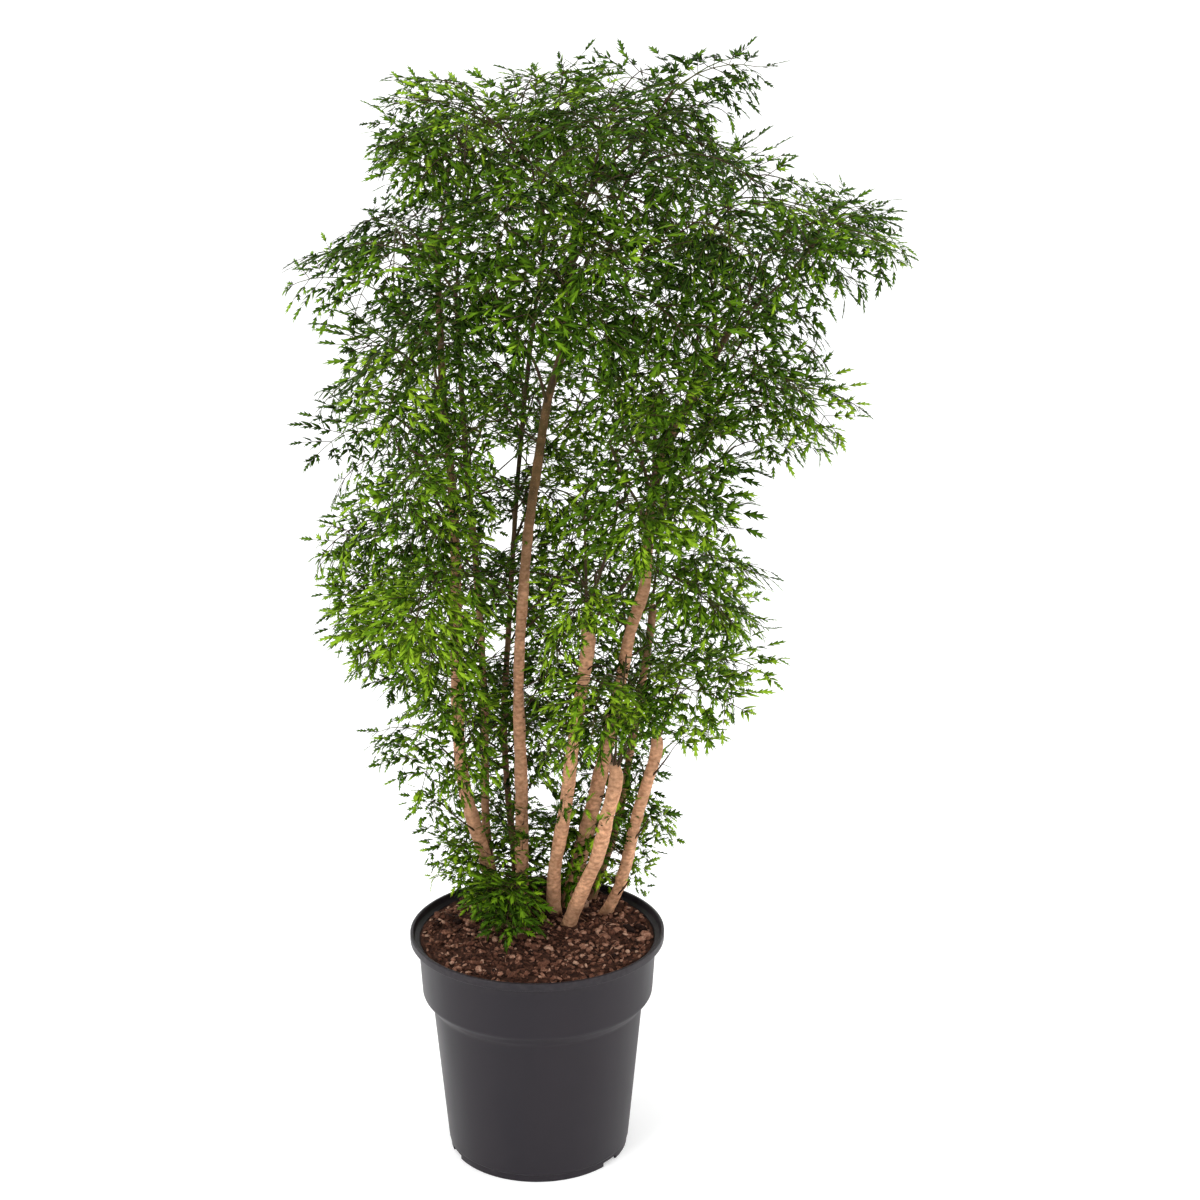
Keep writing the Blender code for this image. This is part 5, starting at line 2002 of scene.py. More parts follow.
@dataclass(frozen=True)
class LeafGreen(ToneFinish):
    """Living leaflets, from deep blue-green to fresh yellow-green by each one's tone."""

    stops: tuple = ((0.0, (0.008, 0.019, 0.0012)), (0.30, (0.019, 0.048, 0.0019)),
                    (0.58, (0.051, 0.118, 0.0037)), (0.82, (0.128, 0.250, 0.0078)),
                    (1.0, (0.270, 0.440, 0.0200)))
    patch_scale: float = 220.0
    patch_detail: float = 3.0
    sway: tuple = (-0.05, 0.05)
    sheen: tuple = (0.06, 0.08)
    grain_scale: float = 1400.0
    coarse: float = 1.0
    under: tuple = (0.050, 0.110, 0.012, 1.0)
    under_span: tuple = (0.5, 0.7, 0.0, 0.55)
    vein: tuple = (0.100, 0.210, 0.016, 1.0)
    vein_span: tuple = (0.72, 1.0, 0.0, 0.30)
    tip_span: tuple = (0.0, 1.0, -0.05, 0.10)

    def tone(self, bench: Bench) -> bpy.types.NodeSocket:
        """The tone, fresher towards each leaflet's tip."""
        return bench.maths("ADD", bench.value_of("tone"), bench.spread(bench.value_of("tip"), *self.tip_span))

    def coloured(self, bench: Bench, colour: bpy.types.NodeSocket) -> bpy.types.NodeSocket:
        """The colour with a paler midrib and underside."""
        colour = bench.blend(bench.spread(bench.value_of("rib"), *self.vein_span), colour, self.vein)
        return bench.blend(bench.spread(bench.value_of("under"), *self.under_span), colour, self.under)


@dataclass(frozen=True)
class StudioWhite(Finish):
    """The plain pale floor."""

    ground: tuple = (0.90, 0.90, 0.90, 1.0)
    glow: float = 0.32

    def make(self) -> bpy.types.Material:
        """Build the material.

        Returns:
            The material.
        """
        material, bench, shader = self.start()
        bench.fed(shader, Base_Color=self.ground, Emission_Color=self.ground, Emission_Strength=self.glow)
        return material


# Pieces

@dataclass
class LeafyStem:
    """One stem with its bark, its shoots, its leaf stalks and its leaflets."""

    plan: StemPlan
    shoots: list
    twigs: list
    fronds: list
    sides: int = 16
    step: float = 0.0026
    shoot_sides: int = 8
    shoot_step: float = 0.006
    shoot_slimness: float = 0.54
    low_slimness: float = 0.42
    low_z: float = 0.72
    knobs: float = 0.10
    knob_waves: tuple = (380.0, 520.0)
    shoot_end: float = 0.55
    twig_sides: int = 5
    twig_step: float = 0.009
    twig_radii: tuple = (0.0014, 0.0008)
    waves: tuple = ((0.045, 2, 14.0, 0), (0.035, 3, -31.0, 1), (0.045, 0, 75.0, 2),
                    (0.025, 5, 130.0, 3), (0.025, 2, 260.0, 1), (0.030, 0, 31.0, 0))
    ring_gap: tuple = (0.009, 0.021)
    ring_strength: tuple = (0.6, 1.4)
    ring_tilt: float = 0.22
    ring_rise: float = 0.038
    ring_width: float = 0.0026
    crack_width: float = 0.0012
    knots: int = 3
    knot_rise: float = 0.28
    knot_span: tuple = (0.12, 0.85)
    knot_length: float = 0.0055
    flare: float = 0.16
    flare_height: float = 0.012
    cut_lip: float = 0.0006
    cut_narrowing: float = 0.94
    top_taper: tuple = (0.26, 0.005)
    age_span: tuple = (0.0030, 0.0060)
    base_tone: float = 0.495
    tone_spread: float = 0.19
    # Fronds low and in front are made lighter: partly fresher green, partly painted light from the front.
    fresh_and_lit_gain: float = 0.235
    low_fade: tuple = (1.10, 0.4)
    front_light_fade: tuple = (0.12, 0.25)
    front_light_share: tuple = (0.4, 0.6)
    tuft_gain: float = -0.03
    tuft_z: float = 0.42
    tuft_y: float = 0.06
    tone_place: float = 0.6

    def ring_marks(self, length: float, draw: random.Random) -> list:
        """Leaf scars along a stem.

        Args:
            length: The stem's length.
            draw: Source of random numbers.

        Returns:
            Triples of place, azimuth of the tilt and strength.
        """
        marks = []
        place = draw.uniform(*self.ring_gap)
        while place < length:
            marks.append((place, draw.uniform(0.0, math.tau), draw.uniform(*self.ring_strength)))
            place += draw.uniform(*self.ring_gap)
        return marks

    def age_of(self, widths: np.ndarray, oldest: float) -> np.ndarray:
        """How old wood of a width looks, from 0 for green twigs up; a lower cap paints shade on shaded stems.
        """
        young, old = self.age_span
        return np.clip((widths - young) / (old - young), 0.0, oldest)

    def trunk(self, batch: MeshBatch, draw: random.Random) -> None:
        """Add the stem's own wood, with scars, swellings and knots.

        Args:
            batch: Where it goes.
            draw: Source of random numbers.
        """
        points, radii = self.plan.trunk_line()
        line, widths, lengths = smooth_line(points, radii, self.step)
        angles = np.linspace(0.0, math.tau, self.sides, endpoint=False)[None]
        s = lengths[:, None]
        phase = [draw.uniform(0.0, math.tau) for _ in range(4)]
        shape = np.ones((len(line), self.sides))
        for size, turns, wave, number in self.waves:
            shape = shape + size * np.sin(turns * angles + wave * s + phase[number])
        cracks = np.zeros_like(shape)
        for place, turn, strength in self.ring_marks(lengths[-1], draw):
            off = s - place - self.ring_tilt * widths[:, None] * np.cos(angles - turn)
            shape = shape + self.ring_rise * strength * np.exp(-(off / self.ring_width) ** 2)
            crack = np.exp(-((off - self.ring_width) / self.crack_width) ** 2)
            cracks = np.maximum(cracks, strength * crack)
        for _ in range(self.knots):
            place, turn = draw.uniform(*self.knot_span) * lengths[-1], draw.uniform(0.0, math.tau)
            bulge = self.knot_rise * np.exp(-((s - place) / self.knot_length) ** 2)
            shape = shape + bulge * np.clip(np.cos(angles - turn), 0.0, 1.0) ** 4
        above_soil = np.clip(line[:, 2] - self.plan.route[0][2], 0.0, None)
        flare = 1.0 + self.flare * np.exp(-above_soil / self.flare_height)
        widths = self.plan.slimness * widths[:, None] * shape * flare[:, None]
        cut = np.zeros(len(line))
        if self.plan.cut_top:
            from_top = (lengths[-1] - lengths) / self.top_taper[1]
            widths = widths * (1.0 - self.top_taper[0] * np.exp(-from_top))[:, None]
            line = np.vstack([line, line[-1] + unit(line[-1] - line[-2]) * self.cut_lip])
            widths = np.vstack([widths, widths[-1] * self.cut_narrowing])
            cracks = np.vstack([cracks, cracks[-1] * 0.0])
            cut = np.append(cut, 1.0)
        vertices, groups = tube(line, widths, self.sides)
        # Painted shade: a cap below 1 on how old the trunk looks gives stems in shade darker bark.
        batch.add(vertices, groups, ring=np.clip(cracks, 0.0, 1.0).ravel(),
                  age=self.age_of(widths, self.plan.shaded_bark_age).ravel(), cut=np.repeat(cut, self.sides))

    def branch(self, shoot: Shoot, batch: MeshBatch, draw: random.Random) -> None:
        """Add one shoot, a little knobbly where leaves sat.

        Args:
            shoot: The shoot.
            batch: Where it goes.
            draw: Source of random numbers.
        """
        slimness = self.low_slimness if shoot.points[-1].z < self.low_z else self.shoot_slimness
        radii = [radius * slimness for radius in shoot.radii]
        line, widths, lengths = smooth_line(list(shoot.points), radii, self.shoot_step)
        widths = widths * (1.0 + self.knobs * np.sin(lengths * draw.uniform(*self.knob_waves)))
        widths[-1] = widths[-1] * self.shoot_end
        vertices, groups = tube(line, widths, self.shoot_sides)
        batch.add(vertices, groups, ring=0.0, age=np.repeat(self.age_of(widths, 1.0), self.shoot_sides),
                  cut=0.0)

    def twig(self, twig: Twig, batch: MeshBatch) -> None:
        """Add one thin twig.

        Args:
            twig: The twig.
            batch: Where it goes.
        """
        radii = np.interp(np.linspace(0.0, 1.0, len(twig.points)), (0.0, 1.0), self.twig_radii)
        line, widths, _ = smooth_line(list(twig.points), list(radii), self.twig_step)
        vertices, groups = tube(line, widths, self.twig_sides)
        batch.add(vertices, groups, ring=0.0, age=0.0, cut=0.0)

    def tone_of(self, frond: Frond, draw: random.Random) -> float:
        """A frond's brightness: lighter low and in front by fresh growth and painted light, darker just above
        soil.

        Args:
            frond: The frond.
            draw: Source of random numbers.

        Returns:
            The brightness, from 0 to 1 for most fronds.
        """
        middle = frond.point(self.tone_place, 0.0)
        tuft = self.tuft_gain if middle.z < self.tuft_z and middle.y < self.tuft_y else 0.0
        low, front = (max(0.0, min(1.0, (end - value) / span)) for (end, span), value in
                      ((self.low_fade, middle.z), (self.front_light_fade, middle.y)))
        # Painted light: fronds low and in front are lighter, where the front light falls; part of it is
        # fresher green.
        gain = self.fresh_and_lit_gain * low * (self.front_light_share[0] + self.front_light_share[1] * front) + tuft
        return self.base_tone + draw.gauss(0.0, self.tone_spread) + gain

    def build(self, detail: FrondDetail, materials: dict, draw: random.Random) -> None:
        """Make the stem's three pieces.

        Args:
            detail: How fronds are cut.
            materials: Finishes by name.
            draw: Source of random numbers.
        """
        name = self.plan.name
        wood, stalks, leaves, leaflets = MeshBatch(), MeshBatch(), MeshBatch(), Leaflets()
        self.trunk(wood, draw)
        for shoot in self.shoots:
            self.branch(shoot, wood, draw)
        for twig in self.twigs:
            self.twig(twig, wood)
        for frond in self.fronds:
            detail.dress(frond, self.tone_of(frond, draw), leaflets, stalks, draw)
        leaflets.fill(leaves)
        parts = ((wood, "wood", "bark"), (stalks, "stalks", "stalk"), (leaves, "leaves", "leaf"))
        for batch, part, finish in parts:
            piece = batch.build(f"{name}_{part}", materials[finish])
            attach(piece, BODY)
            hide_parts(name)
            log.info("%s: %d faces", piece.name, len(piece.data.polygons))


def ring_rows(work: bmesh.types.BMesh, profile: list, segments: int) -> list:
    """Rings of vertices about the Z axis.

    Args:
        work: The bmesh that takes them.
        profile: Pairs of radius and height, one for each ring.
        segments: Number of vertices in a ring.

    Returns:
        The rings, each a list of vertices.
    """
    turns = [math.tau * k / segments for k in range(segments)]
    return [[work.verts.new((radius * math.cos(turn), radius * math.sin(turn), height)) for turn in turns]
            for radius, height in profile]


def revolve(profile: list, segments: int, name: str) -> bpy.types.Object:
    """Turn a closed profile about the Z axis; its first and last points lie on the axis.

    Args:
        profile: Pairs of radius and height.
        segments: Number of steps around.
        name: The piece's name.

    Returns:
        The new object, in the scene.
    """
    work = bmesh.new()
    rings = ring_rows(work, profile[1:-1], segments)
    first, last = (work.verts.new((0.0, 0.0, height)) for _, height in (profile[0], profile[-1]))
    for k in range(segments):
        after = (k + 1) % segments
        work.faces.new((first, rings[0][after], rings[0][k]))
        work.faces.new((last, rings[-1][k], rings[-1][after]))
        for low, high in zip(rings, rings[1:]):
            work.faces.new((low[k], low[after], high[after], high[k]))
    bmesh.ops.recalc_face_normals(work, faces=work.faces)
    return add_object(name, mesh_from(work, name))


def rounded(corners: list, radii: list, steps: int = 4, most: float = 0.45) -> list:
    """A profile with its corners rounded.

    Args:
        corners: Pairs of radius and height.
        radii: How far from each corner its curve starts, in metres.
        steps: Number of steps in each curve.
        most: Largest share of an edge that a curve may take.

    Returns:
        The rounded profile.
    """
    out = [corners[0]]
    for i in range(1, len(corners) - 1):
        here = Vector(corners[i])
        before, after = Vector(corners[i - 1]) - here, Vector(corners[i + 1]) - here
        reach = min(radii[i], before.length * most, after.length * most)
        start, end = here + before.normalized() * reach, here + after.normalized() * reach
        for k in range(steps + 1):
            share = k / steps
            point = start * (1 - share) ** 2 + here * 2 * share * (1 - share) + end * share ** 2
            out.append((point.x, point.y))
    return out + [corners[-1]]


@dataclass(frozen=True)
class NurseryPot:
    """The moulded pot: body, collar band, lip, foot notches and drain holes."""

    height: float = 0.295
    lip_radius: float = 0.160
    lip_height: float = 0.0100
    lip_width: float = 0.0040
    ledge_width: float = 0.0070
    collar_top_radius: float = 0.1500
    collar_low_radius: float = 0.1455
    collar_low_z: float = 0.2140
    body_top_radius: float = 0.1330
    body_top_z: float = 0.1990
    body_low_radius: float = 0.1155
    body_low_z: float = 0.0110
    foot_radius: float = 0.1135
    foot_width: float = 0.0030
    foot_edge: float = 0.0015
    floor_z: float = 0.0060
    wall: float = 0.0022
    slant_shift: float = 0.0013
    shelf_shift: float = 0.0031
    boss_radius: float = 0.0250
    segments: int = 120
    notch_angles: tuple = (204.0, 324.0, 84.0)
    notch_depth: float = 0.030
    notch_width: float = 0.026
    notch_height: float = 0.0055
    drain_count: int = 6
    drain_sides: int = 24
    drain_depth: float = 0.030
    drain_radius: float = 0.006
    drain_ring_radius: float = 0.078
    rounding: float = 0.0012
    soft_rounding: float = 0.0030
    soft_corners: tuple = (9, 10, 11)
    sharp_angle: float = 35.0

    def inside(self) -> list:
        """The inner profile, from the middle of the floor up to the lip.

        Returns:
            Pairs of radius and height.
        """
        lip_z = self.height - self.lip_height
        return [(0.0, self.floor_z + self.wall), (self.foot_radius - self.wall, self.floor_z + self.wall),
                (self.body_top_radius - self.wall, self.body_top_z + self.slant_shift),
                (self.collar_low_radius - self.wall, self.collar_low_z + self.slant_shift),
                (self.collar_top_radius - self.wall, lip_z + self.slant_shift),
                (self.collar_top_radius - self.wall + self.ledge_width, lip_z + self.shelf_shift),
                (self.lip_radius - self.lip_width, self.height)]

    def profile(self) -> list:
        """The whole profile, rounded.

        Returns:
            Pairs of radius and height.
        """
        lip_z = self.height - self.lip_height
        corners = self.inside() + [
            (self.lip_radius, self.height), (self.lip_radius, lip_z),
            (self.collar_top_radius, lip_z), (self.collar_low_radius, self.collar_low_z),
            (self.body_top_radius, self.body_top_z), (self.body_low_radius, self.body_low_z),
            (self.foot_radius, self.body_low_z - self.foot_edge), (self.foot_radius, 0.0),
            (self.foot_radius - self.foot_width, 0.0), (self.foot_radius - self.foot_width, self.floor_z),
            (self.boss_radius + self.foot_edge, self.floor_z), (self.boss_radius, 0.0), (0.0, 0.0)]
        radii = [self.soft_rounding if k in self.soft_corners else self.rounding
                 for k in range(len(corners))]
        return rounded(corners, radii)

    def build(self, material: bpy.types.Material) -> bpy.types.Object:
        """Make the pot.

        Args:
            material: Its finish.

        Returns:
            The piece.
        """
        piece = revolve(self.profile(), self.segments, "pot_shell")
        cutters = [self.notch(angle) for angle in self.notch_angles]
        cutters += [self.drain(k) for k in range(self.drain_count)]
        for cutter in cutters:
            cut = piece.modifiers.new("cut", "BOOLEAN")
            cut.operation = "DIFFERENCE"
            cut.solver = "EXACT"
            cut.object = cutter
        graph = bpy.context.evaluated_depsgraph_get()
        mesh = bpy.data.meshes.new_from_object(piece.evaluated_get(graph))
        piece.modifiers.clear()
        piece.data = mesh
        for cutter in cutters:
            bpy.data.objects.remove(cutter)
        mesh.shade_smooth()
        mesh.set_sharp_from_angle(angle=math.radians(self.sharp_angle))
        mesh.materials.clear()
        mesh.materials.append(material)
        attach(piece, BODY)
        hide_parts("pot")
        return piece

    def notch(self, angle: float) -> bpy.types.Object:
        """A cutter for one notch in the foot.

        Args:
            angle: The notch's azimuth in degrees.

        Returns:
            The cutter.
        """
        turn = math.radians(angle)
        work = bmesh.new()
        bmesh.ops.create_cube(work, size=1.0)
        size = (self.notch_depth, self.notch_width, 2 * self.notch_height)
        bmesh.ops.scale(work, vec=size, verts=work.verts)
        cutter = add_object("notch_cutter", mesh_from(work, "notch_cutter"))
        cutter.location = (self.foot_radius * math.cos(turn), self.foot_radius * math.sin(turn), 0.0)
        cutter.rotation_euler = (0.0, 0.0, turn)
        return cutter

    def drain(self, number: int) -> bpy.types.Object:
        """A cutter for one drain hole in the floor.

        Args:
            number: Which of the holes it is.

        Returns:
            The cutter.
        """
        turn = math.tau * number / self.drain_count
        work = bmesh.new()
        bmesh.ops.create_cone(work, cap_ends=True, segments=self.drain_sides, radius1=self.drain_radius,
                              radius2=self.drain_radius, depth=self.drain_depth)
        cutter = add_object("drain_cutter", mesh_from(work, "drain_cutter"))
        cutter.location = (self.drain_ring_radius * math.cos(turn),
                           self.drain_ring_radius * math.sin(turn), self.floor_z)
        return cutter


@dataclass(frozen=True)
class SoilBed:
    """The potting mix: a body with a crumbly top, chips of bark, and coir fibres."""

    edge_z: float = 0.2858
    mound: float = 0.0060
    roughness: float = 0.0028
    gap: float = 0.0004
    segments: int = 150
    rings: int = 62
    lump: float = 0.0042
    lump_scale: float = 75.0
    lump_slice: float = 0.3
    crumb: float = 0.0016
    crumb_scale: float = 330.0
    crumb_slice: float = 0.7
    fade_width: float = 0.008
    edge_share: tuple = (0.35, 0.65)
    # Painted shade: the bed's tone follows the crumbs' height, darker in the crevices, lighter on top.
    bed_tone_and_crevice_shade: tuple = (0.30, 0.55)
    bed_tone_and_crevice_shade_span: tuple = (0.02, 0.75)
    chips: int = 1750
    chip_sizes: tuple = (0.0020, 0.0054)
    chip_room: float = 0.97
    chip_inset: float = 0.001
    chip_jitter: tuple = (0.72, 1.18)
    chip_depth: tuple = (0.4, 0.9)
    chip_height: tuple = (0.22, 0.6)
    chip_tilt: float = 0.6
    chip_lift: float = 0.30
    chip_tone: tuple = (0.54, 0.26)
    large_share: float = 0.06
    large_size: float = 1.7
    fibres: int = 40
    fibre_length: tuple = (0.008, 0.024)
    fibre_radius: float = 0.0003
    fibre_bend: float = 1.2
    fibre_steps: int = 6
    fibre_insets: tuple = (0.012, 0.004, 0.003)
    fibre_lift: tuple = (0.0012, 0.0022)
    fibre_tone: tuple = (0.70, 1.0)

    def height_at(self, radius: float, angle: float, edge: float) -> float:
        """Height of the bed's top, without its crumbs."""
        waves = 0.5 * math.sin(3 * angle + 40 * radius) + 0.5 * math.cos(5 * angle - 70 * radius)
        return self.edge_z + self.mound * (1 - (radius / edge) ** 2) + self.roughness * 0.5 * waves

    def crumbs_at(self, x: float, y: float) -> float:
        """Noise of the crumbs at a place."""
        return noise.noise(Vector((x, y, self.crumb_slice)) * self.crumb_scale)

    def top_at(self, x: float, y: float, edge: float) -> float:
        """Height of the bed's top with its lumps and crumbs, level at the wall.

        Args:
            x: The place's X.
            y: The place's Y.
            edge: The bed's radius.

        Returns:
            The height in metres.
        """
        radius, angle = math.hypot(x, y), math.atan2(y, x)
        fade = min(1.0, max(0.0, (edge - radius) / self.fade_width))
        lumps = noise.noise(Vector((x, y, self.lump_slice)) * self.lump_scale) * self.lump
        rough = lumps + self.crumbs_at(x, y) * self.crumb
        return self.height_at(radius, angle, edge) + rough * (self.edge_share[0] + self.edge_share[1] * fade)

    def build(self, pot: NurseryPot, material: bpy.types.Material, draw: random.Random) -> bpy.types.Object:
        """Make the bed with its chips and fibres.

        Args:
            pot: The pot that holds it.
            material: Its finish.
            draw: Source of random numbers.

        Returns:
            The piece.
        """
        batch = MeshBatch()
        wall = [(radius - self.gap, z + self.gap) for radius, z in pot.inside()[1:5]]
        edge = wall[-1][0]
        self.add_bed(batch, wall[:-1], edge)
        self.add_chips(batch, edge, draw)
        self.add_fibres(batch, edge, draw)
        piece = batch.build("soil_bed", material)
        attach(piece, BODY)
        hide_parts("soil")
        return piece

    def add_bed(self, batch: MeshBatch, wall: list, edge: float) -> None:
        """Add the bed itself: a closed body with a rough top, its crevices darkened as painted shade.

        Args:
            batch: Where it goes.
            wall: Pairs of radius and height down the pot's wall, lowest first.
            edge: The bed's radius.
        """
        count, rows = self.segments, self.rings + len(wall)
        turns = [math.tau * k / count for k in range(count)]
        points = [(0.0, 0.0, self.top_at(0.0, 0.0, edge))]
        for ring in range(1, self.rings + 1):
            radius = edge * ring / self.rings
            places = [(radius * math.cos(turn), radius * math.sin(turn)) for turn in turns]
            points += [(x, y, self.top_at(x, y, edge)) for x, y in places]
        for radius, z in reversed(wall):
            points += [(radius * math.cos(turn), radius * math.sin(turn), z) for turn in turns]
        points.append((0.0, 0.0, wall[0][1]))
        here, after = np.arange(count), (np.arange(count) + 1) % count
        fans = np.stack([np.zeros(count, int), 1 + here, 1 + after], -1)
        low = 1 + (rows - 1) * count
        bottom = np.stack([np.full(count, len(points) - 1), low + after, low + here], -1)
        quads = [np.stack([start + here, start + count + here, start + count + after, start + after], -1)
                 for start in range(1, low, count)]
        # Painted shade: the tone rises with the crumbs' height, so crevices are painted dark.
        crevice_shaded_tones = self.bed_tone_and_crevice_shade[0] + self.bed_tone_and_crevice_shade[1] * np.array([self.crumbs_at(x, y) for x, y, _ in points])
        batch.add(np.array(points), [np.vstack([fans, bottom]), np.vstack(quads)],
                  tone=np.clip(crevice_shaded_tones, *self.bed_tone_and_crevice_shade_span))

    def add_chips(self, batch: MeshBatch, edge: float, draw: random.Random) -> None:
        """Strew chips and crumbs over the bed.

        Args:
            batch: Where they go.
            edge: The bed's radius.
            draw: Source of random numbers.
        """
        shapes = []
        for level in (1, 2):
            work = bmesh.new()
            bmesh.ops.create_icosphere(work, subdivisions=level, radius=1.0)
            work.verts.index_update()
            shapes.append((np.array([tuple(v.co) for v in work.verts]),
                           np.array([[v.index for v in face.verts] for face in work.faces])))
            work.free()
        for _ in range(self.chips):
            radius = edge * math.sqrt(draw.uniform(0.0, self.chip_room)) - self.chip_inset
            angle = draw.uniform(0.0, math.tau)
            large = draw.random() < self.large_share
            size = draw.uniform(*self.chip_sizes) * (self.large_size if large else 1.0)
            vertices, faces = shapes[1 if large else 0]
            jitter = np.array([draw.uniform(*self.chip_jitter) for _ in vertices])[:, None]
            stretch = np.array((1.0, draw.uniform(*self.chip_depth), draw.uniform(*self.chip_height))) * size
            tilts = [draw.uniform(-self.chip_tilt, self.chip_tilt) for _ in range(2)]
            turn = Euler((*tilts, draw.uniform(0.0, math.tau)))
            x, y = radius * math.cos(angle), radius * math.sin(angle)
            place = np.array((x, y, self.top_at(x, y, edge) + self.chip_lift * size))
            shape = (vertices * jitter * stretch) @ np.array(turn.to_matrix()).T + place
            batch.add(shape, [faces], tone=min(1.0, max(0.0, draw.gauss(*self.chip_tone))))

    def add_fibres(self, batch: MeshBatch, edge: float, draw: random.Random) -> None:
        """Lay thin coir fibres on the bed.

        Args:
            batch: Where they go.
            edge: The bed's radius.
            draw: Source of random numbers.
        """
        steps = self.fibre_steps
        start_inset, side_inset, inset = self.fibre_insets
        for _ in range(self.fibres):
            radius = (edge - start_inset) * math.sqrt(draw.random())
            angle, heading = draw.uniform(0.0, math.tau), draw.uniform(0.0, math.tau)
            length, bend = draw.uniform(*self.fibre_length), draw.uniform(-self.fibre_bend, self.fibre_bend)
            x, y = radius * math.cos(angle), radius * math.sin(angle)
            line = []
            for k in range(steps):
                x = min(edge - side_inset, max(side_inset - edge, x + math.cos(heading) * length / steps))
                y = y + math.sin(heading) * length / steps
                heading += bend / steps
                reach = math.hypot(x, y)
                if reach > edge - inset:
                    x, y = x * (edge - inset) / reach, y * (edge - inset) / reach
                arch = self.fibre_lift[1] * math.sin(math.pi * k / (steps - 1))
                line.append((x, y, self.top_at(x, y, edge) + self.fibre_lift[0] + arch))
            points, groups = tube(np.array(line), np.full(steps, self.fibre_radius), 4)
            batch.add(points, groups, tone=draw.uniform(*self.fibre_tone))


@dataclass(frozen=True)
class Studio:
    """The pale floor that curves up into a backdrop all round, the lights and the camera."""

    flat_radius: float = 1.5
    floor_radius: float = 5.5
    sweep_radius: float = 2.0
    sweep_steps: int = 12
    wall_height: float = 6.0
    floor_segments: int = 96
    lights: tuple = (("key_light", (-2.6, -3.0, 3.4), 2.0, 105.0),
                     ("fill_light", (3.4, -0.8, 1.8), 2.4, 42.0),
                     ("top_light", (0.0, 0.6, 4.2), 3.0, 45.0))
    aim: tuple = (0.0, 0.0, 0.7)
    sky: float = 0.68
    tilt: float = 73.25
    lens: float = 69.3
    sensor: float = 36.0

    def build(self, white: bpy.types.Material) -> None:
        """Set up floor, lights and camera.

        Args:
            white: The floor's finish.
        """
        self.add_floor(white)
        for light in self.lights:
            self.add_light(*light)
        scene = bpy.context.scene
        scene.world = bpy.data.worlds.new("studio")
        scene.world.use_nodes = True
        tree = scene.world.node_tree
        Bench(tree).fed(tree.nodes["Background"], Color=(1.0, 1.0, 1.0, 1.0), Strength=self.sky)
        scene.view_settings.view_transform = "Standard"
        camera = add_object("camera", bpy.data.cameras.new("camera"))
        camera.location = EYE
        camera.rotation_euler = (math.radians(self.tilt), 0.0, 0.0)
        camera.data.lens = self.lens
        camera.data.sensor_width = self.sensor
        scene.camera = camera

    def add_floor(self, white: bpy.types.Material) -> None:
        """Add the floor and its sweep, a shallow open bowl.

        Args:
            white: Its finish.
        """
        profile = [(self.flat_radius, 0.0), (self.floor_radius, 0.0)]
        for k in range(1, self.sweep_steps + 1):
            angle = math.pi / 2 * k / self.sweep_steps
            profile.append((self.floor_radius + self.sweep_radius * math.sin(angle),
                            self.sweep_radius * (1 - math.cos(angle))))
        profile.append((self.floor_radius + self.sweep_radius, self.wall_height))
        work = bmesh.new()
        middle = work.verts.new((0.0, 0.0, 0.0))
        rings = ring_rows(work, profile, self.floor_segments)
        for k in range(self.floor_segments):
            after = (k + 1) % self.floor_segments
            work.faces.new((middle, rings[0][k], rings[0][after]))
            for low, high in zip(rings, rings[1:]):
                work.faces.new((low[k], high[k], high[after], low[after]))
        floor = add_object("studio_floor", mesh_from(work, "studio_floor"))
        floor.data.shade_smooth()
        floor.data.materials.append(white)

    def add_light(self, name: str, place: tuple, size: float, power: float) -> None:
        """Add a square area light aimed at the plant.

        Args:
            name: Its name.
            place: Where it stands.
            size: Its side, in metres.
            power: Its power, in watts.
        """
        light = add_object(name, bpy.data.lights.new(name, "AREA"))
        light.data.energy = power
        light.data.size = size
        light.location = place
        light.rotation_euler = (Vector(place) - Vector(self.aim)).to_track_quat("Z", "Y").to_euler()


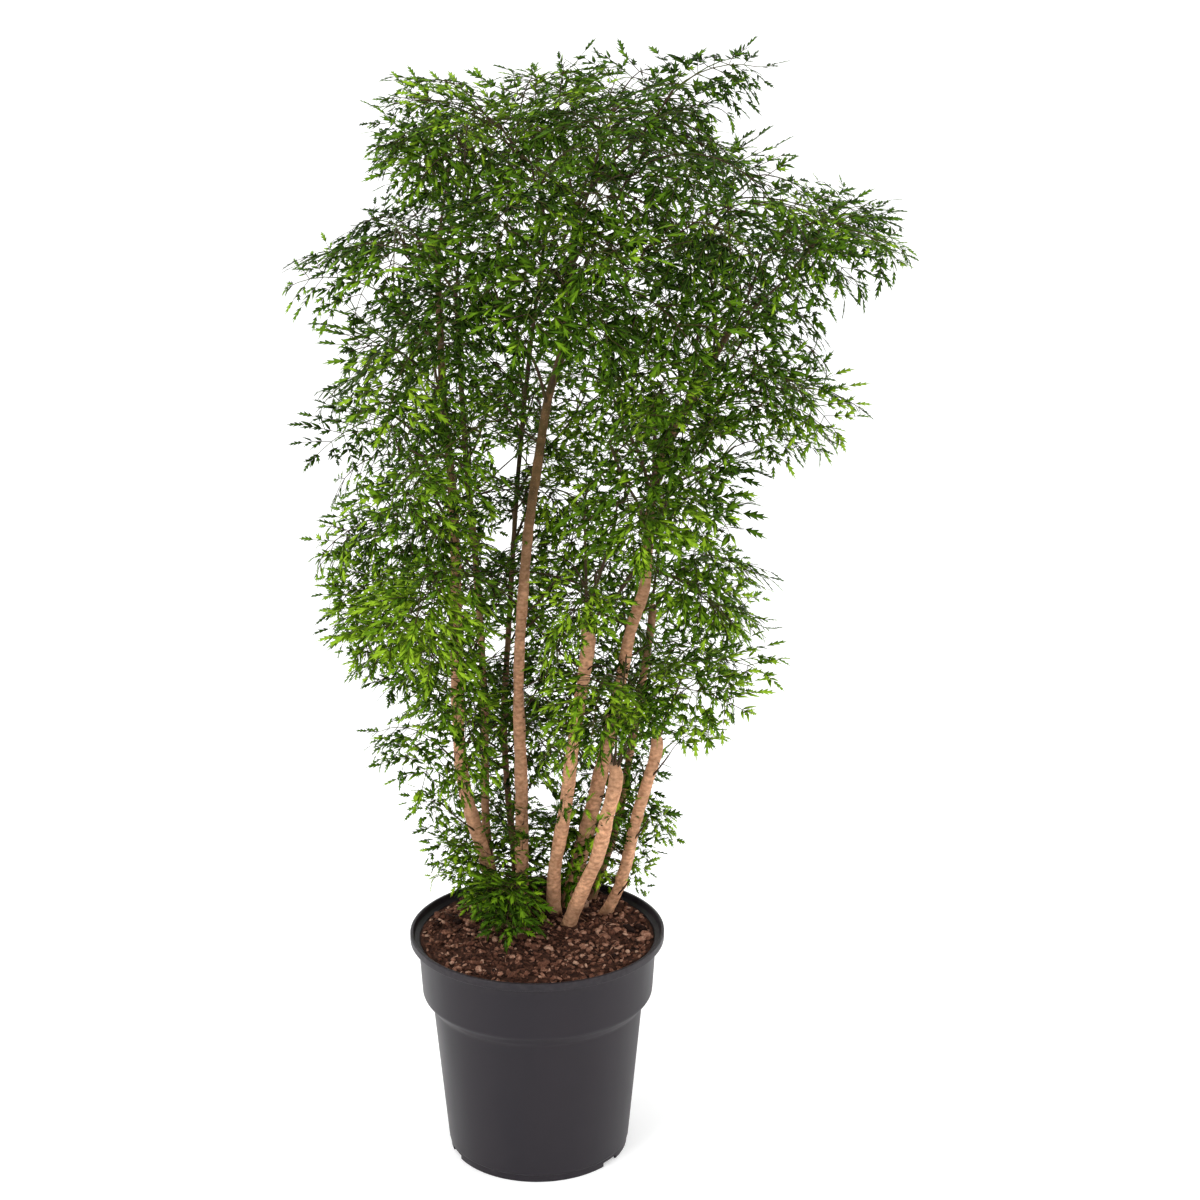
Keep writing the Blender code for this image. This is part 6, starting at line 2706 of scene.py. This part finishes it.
def main() -> None:
    """Build the pot, the soil, the stems and the studio in order."""
    logging.basicConfig(level=logging.INFO, format="%(name)s: %(message)s")
    effects = Effects()
    materials = {"bark": Bark("aralia_bark", 0.70, 0.12, 0.35, 0.0006).make(effects),
                 "stalk": StalkGreen("leaf_stalk", 0.55, 0.10, 0.15, 0.0002).make(effects),
                 "leaf": LeafGreen("leaf_blade", 0.50, 0.05, 0.12, 0.0002).make(effects)}
    pot = NurseryPot()
    plastic = PotPlastic("satin_pot_plastic", 0.44, 0.24, 0.05, 0.0002).make(effects)
    mix = PottingMix("crumbly_potting_mix", 0.92, 0.15, 0.6, 0.0008).make(effects)
    for piece in (pot.build(plastic), SoilBed().build(pot, mix, random.Random(SEED + 3))):
        log.info("%s: %d faces", piece.name, len(piece.data.polygons))

    space = Space()
    for stem in STEMS:
        space.add(stem.name, *square_bar(*stem.trunk_line()))
    sight = Silhouette(STEMS, CROWN_OUTLINE, WINDOWS, SPARSE, Vector(EYE))
    shoots = ShootRules().grow(STEMS, space, random.Random(SEED + 1))
    rules = FrondRules()
    fronds = rules.grow(shoots, space, sight, random.Random(SEED + 2))
    log.info("%d shoots and %d main fronds", len(shoots), len(fronds))
    draw = random.Random(SEED + 4)
    twigs = []
    for twig_rules in TWIG_RULES:
        placed = fronds + [(twig.stem, twig.frond) for twig in twigs]
        twigs += twig_rules.grow(STEMS, shoots, placed, rules, sight, draw)
    log.info("%d twigs", len(twigs))
    for row in SPRIG_ROWS:
        twigs += row.grow(STEMS, rules, sight, draw)
    for number, stem in enumerate(STEMS):
        own_shoots = [shoot for shoot in shoots if shoot.stem is stem]
        own_twigs = [twig for twig in twigs if twig.stem is stem]
        own_fronds = [frond for owner, frond in fronds if owner is stem] + [twig.frond for twig in own_twigs]
        leafy = LeafyStem(stem, own_shoots, own_twigs, own_fronds)
        leafy.build(FrondDetail(), materials, random.Random(SEED + 10 + number))

    Studio().build(StudioWhite("studio_white", 0.9, 0.2).make())


if __name__ == "__main__":
    main()
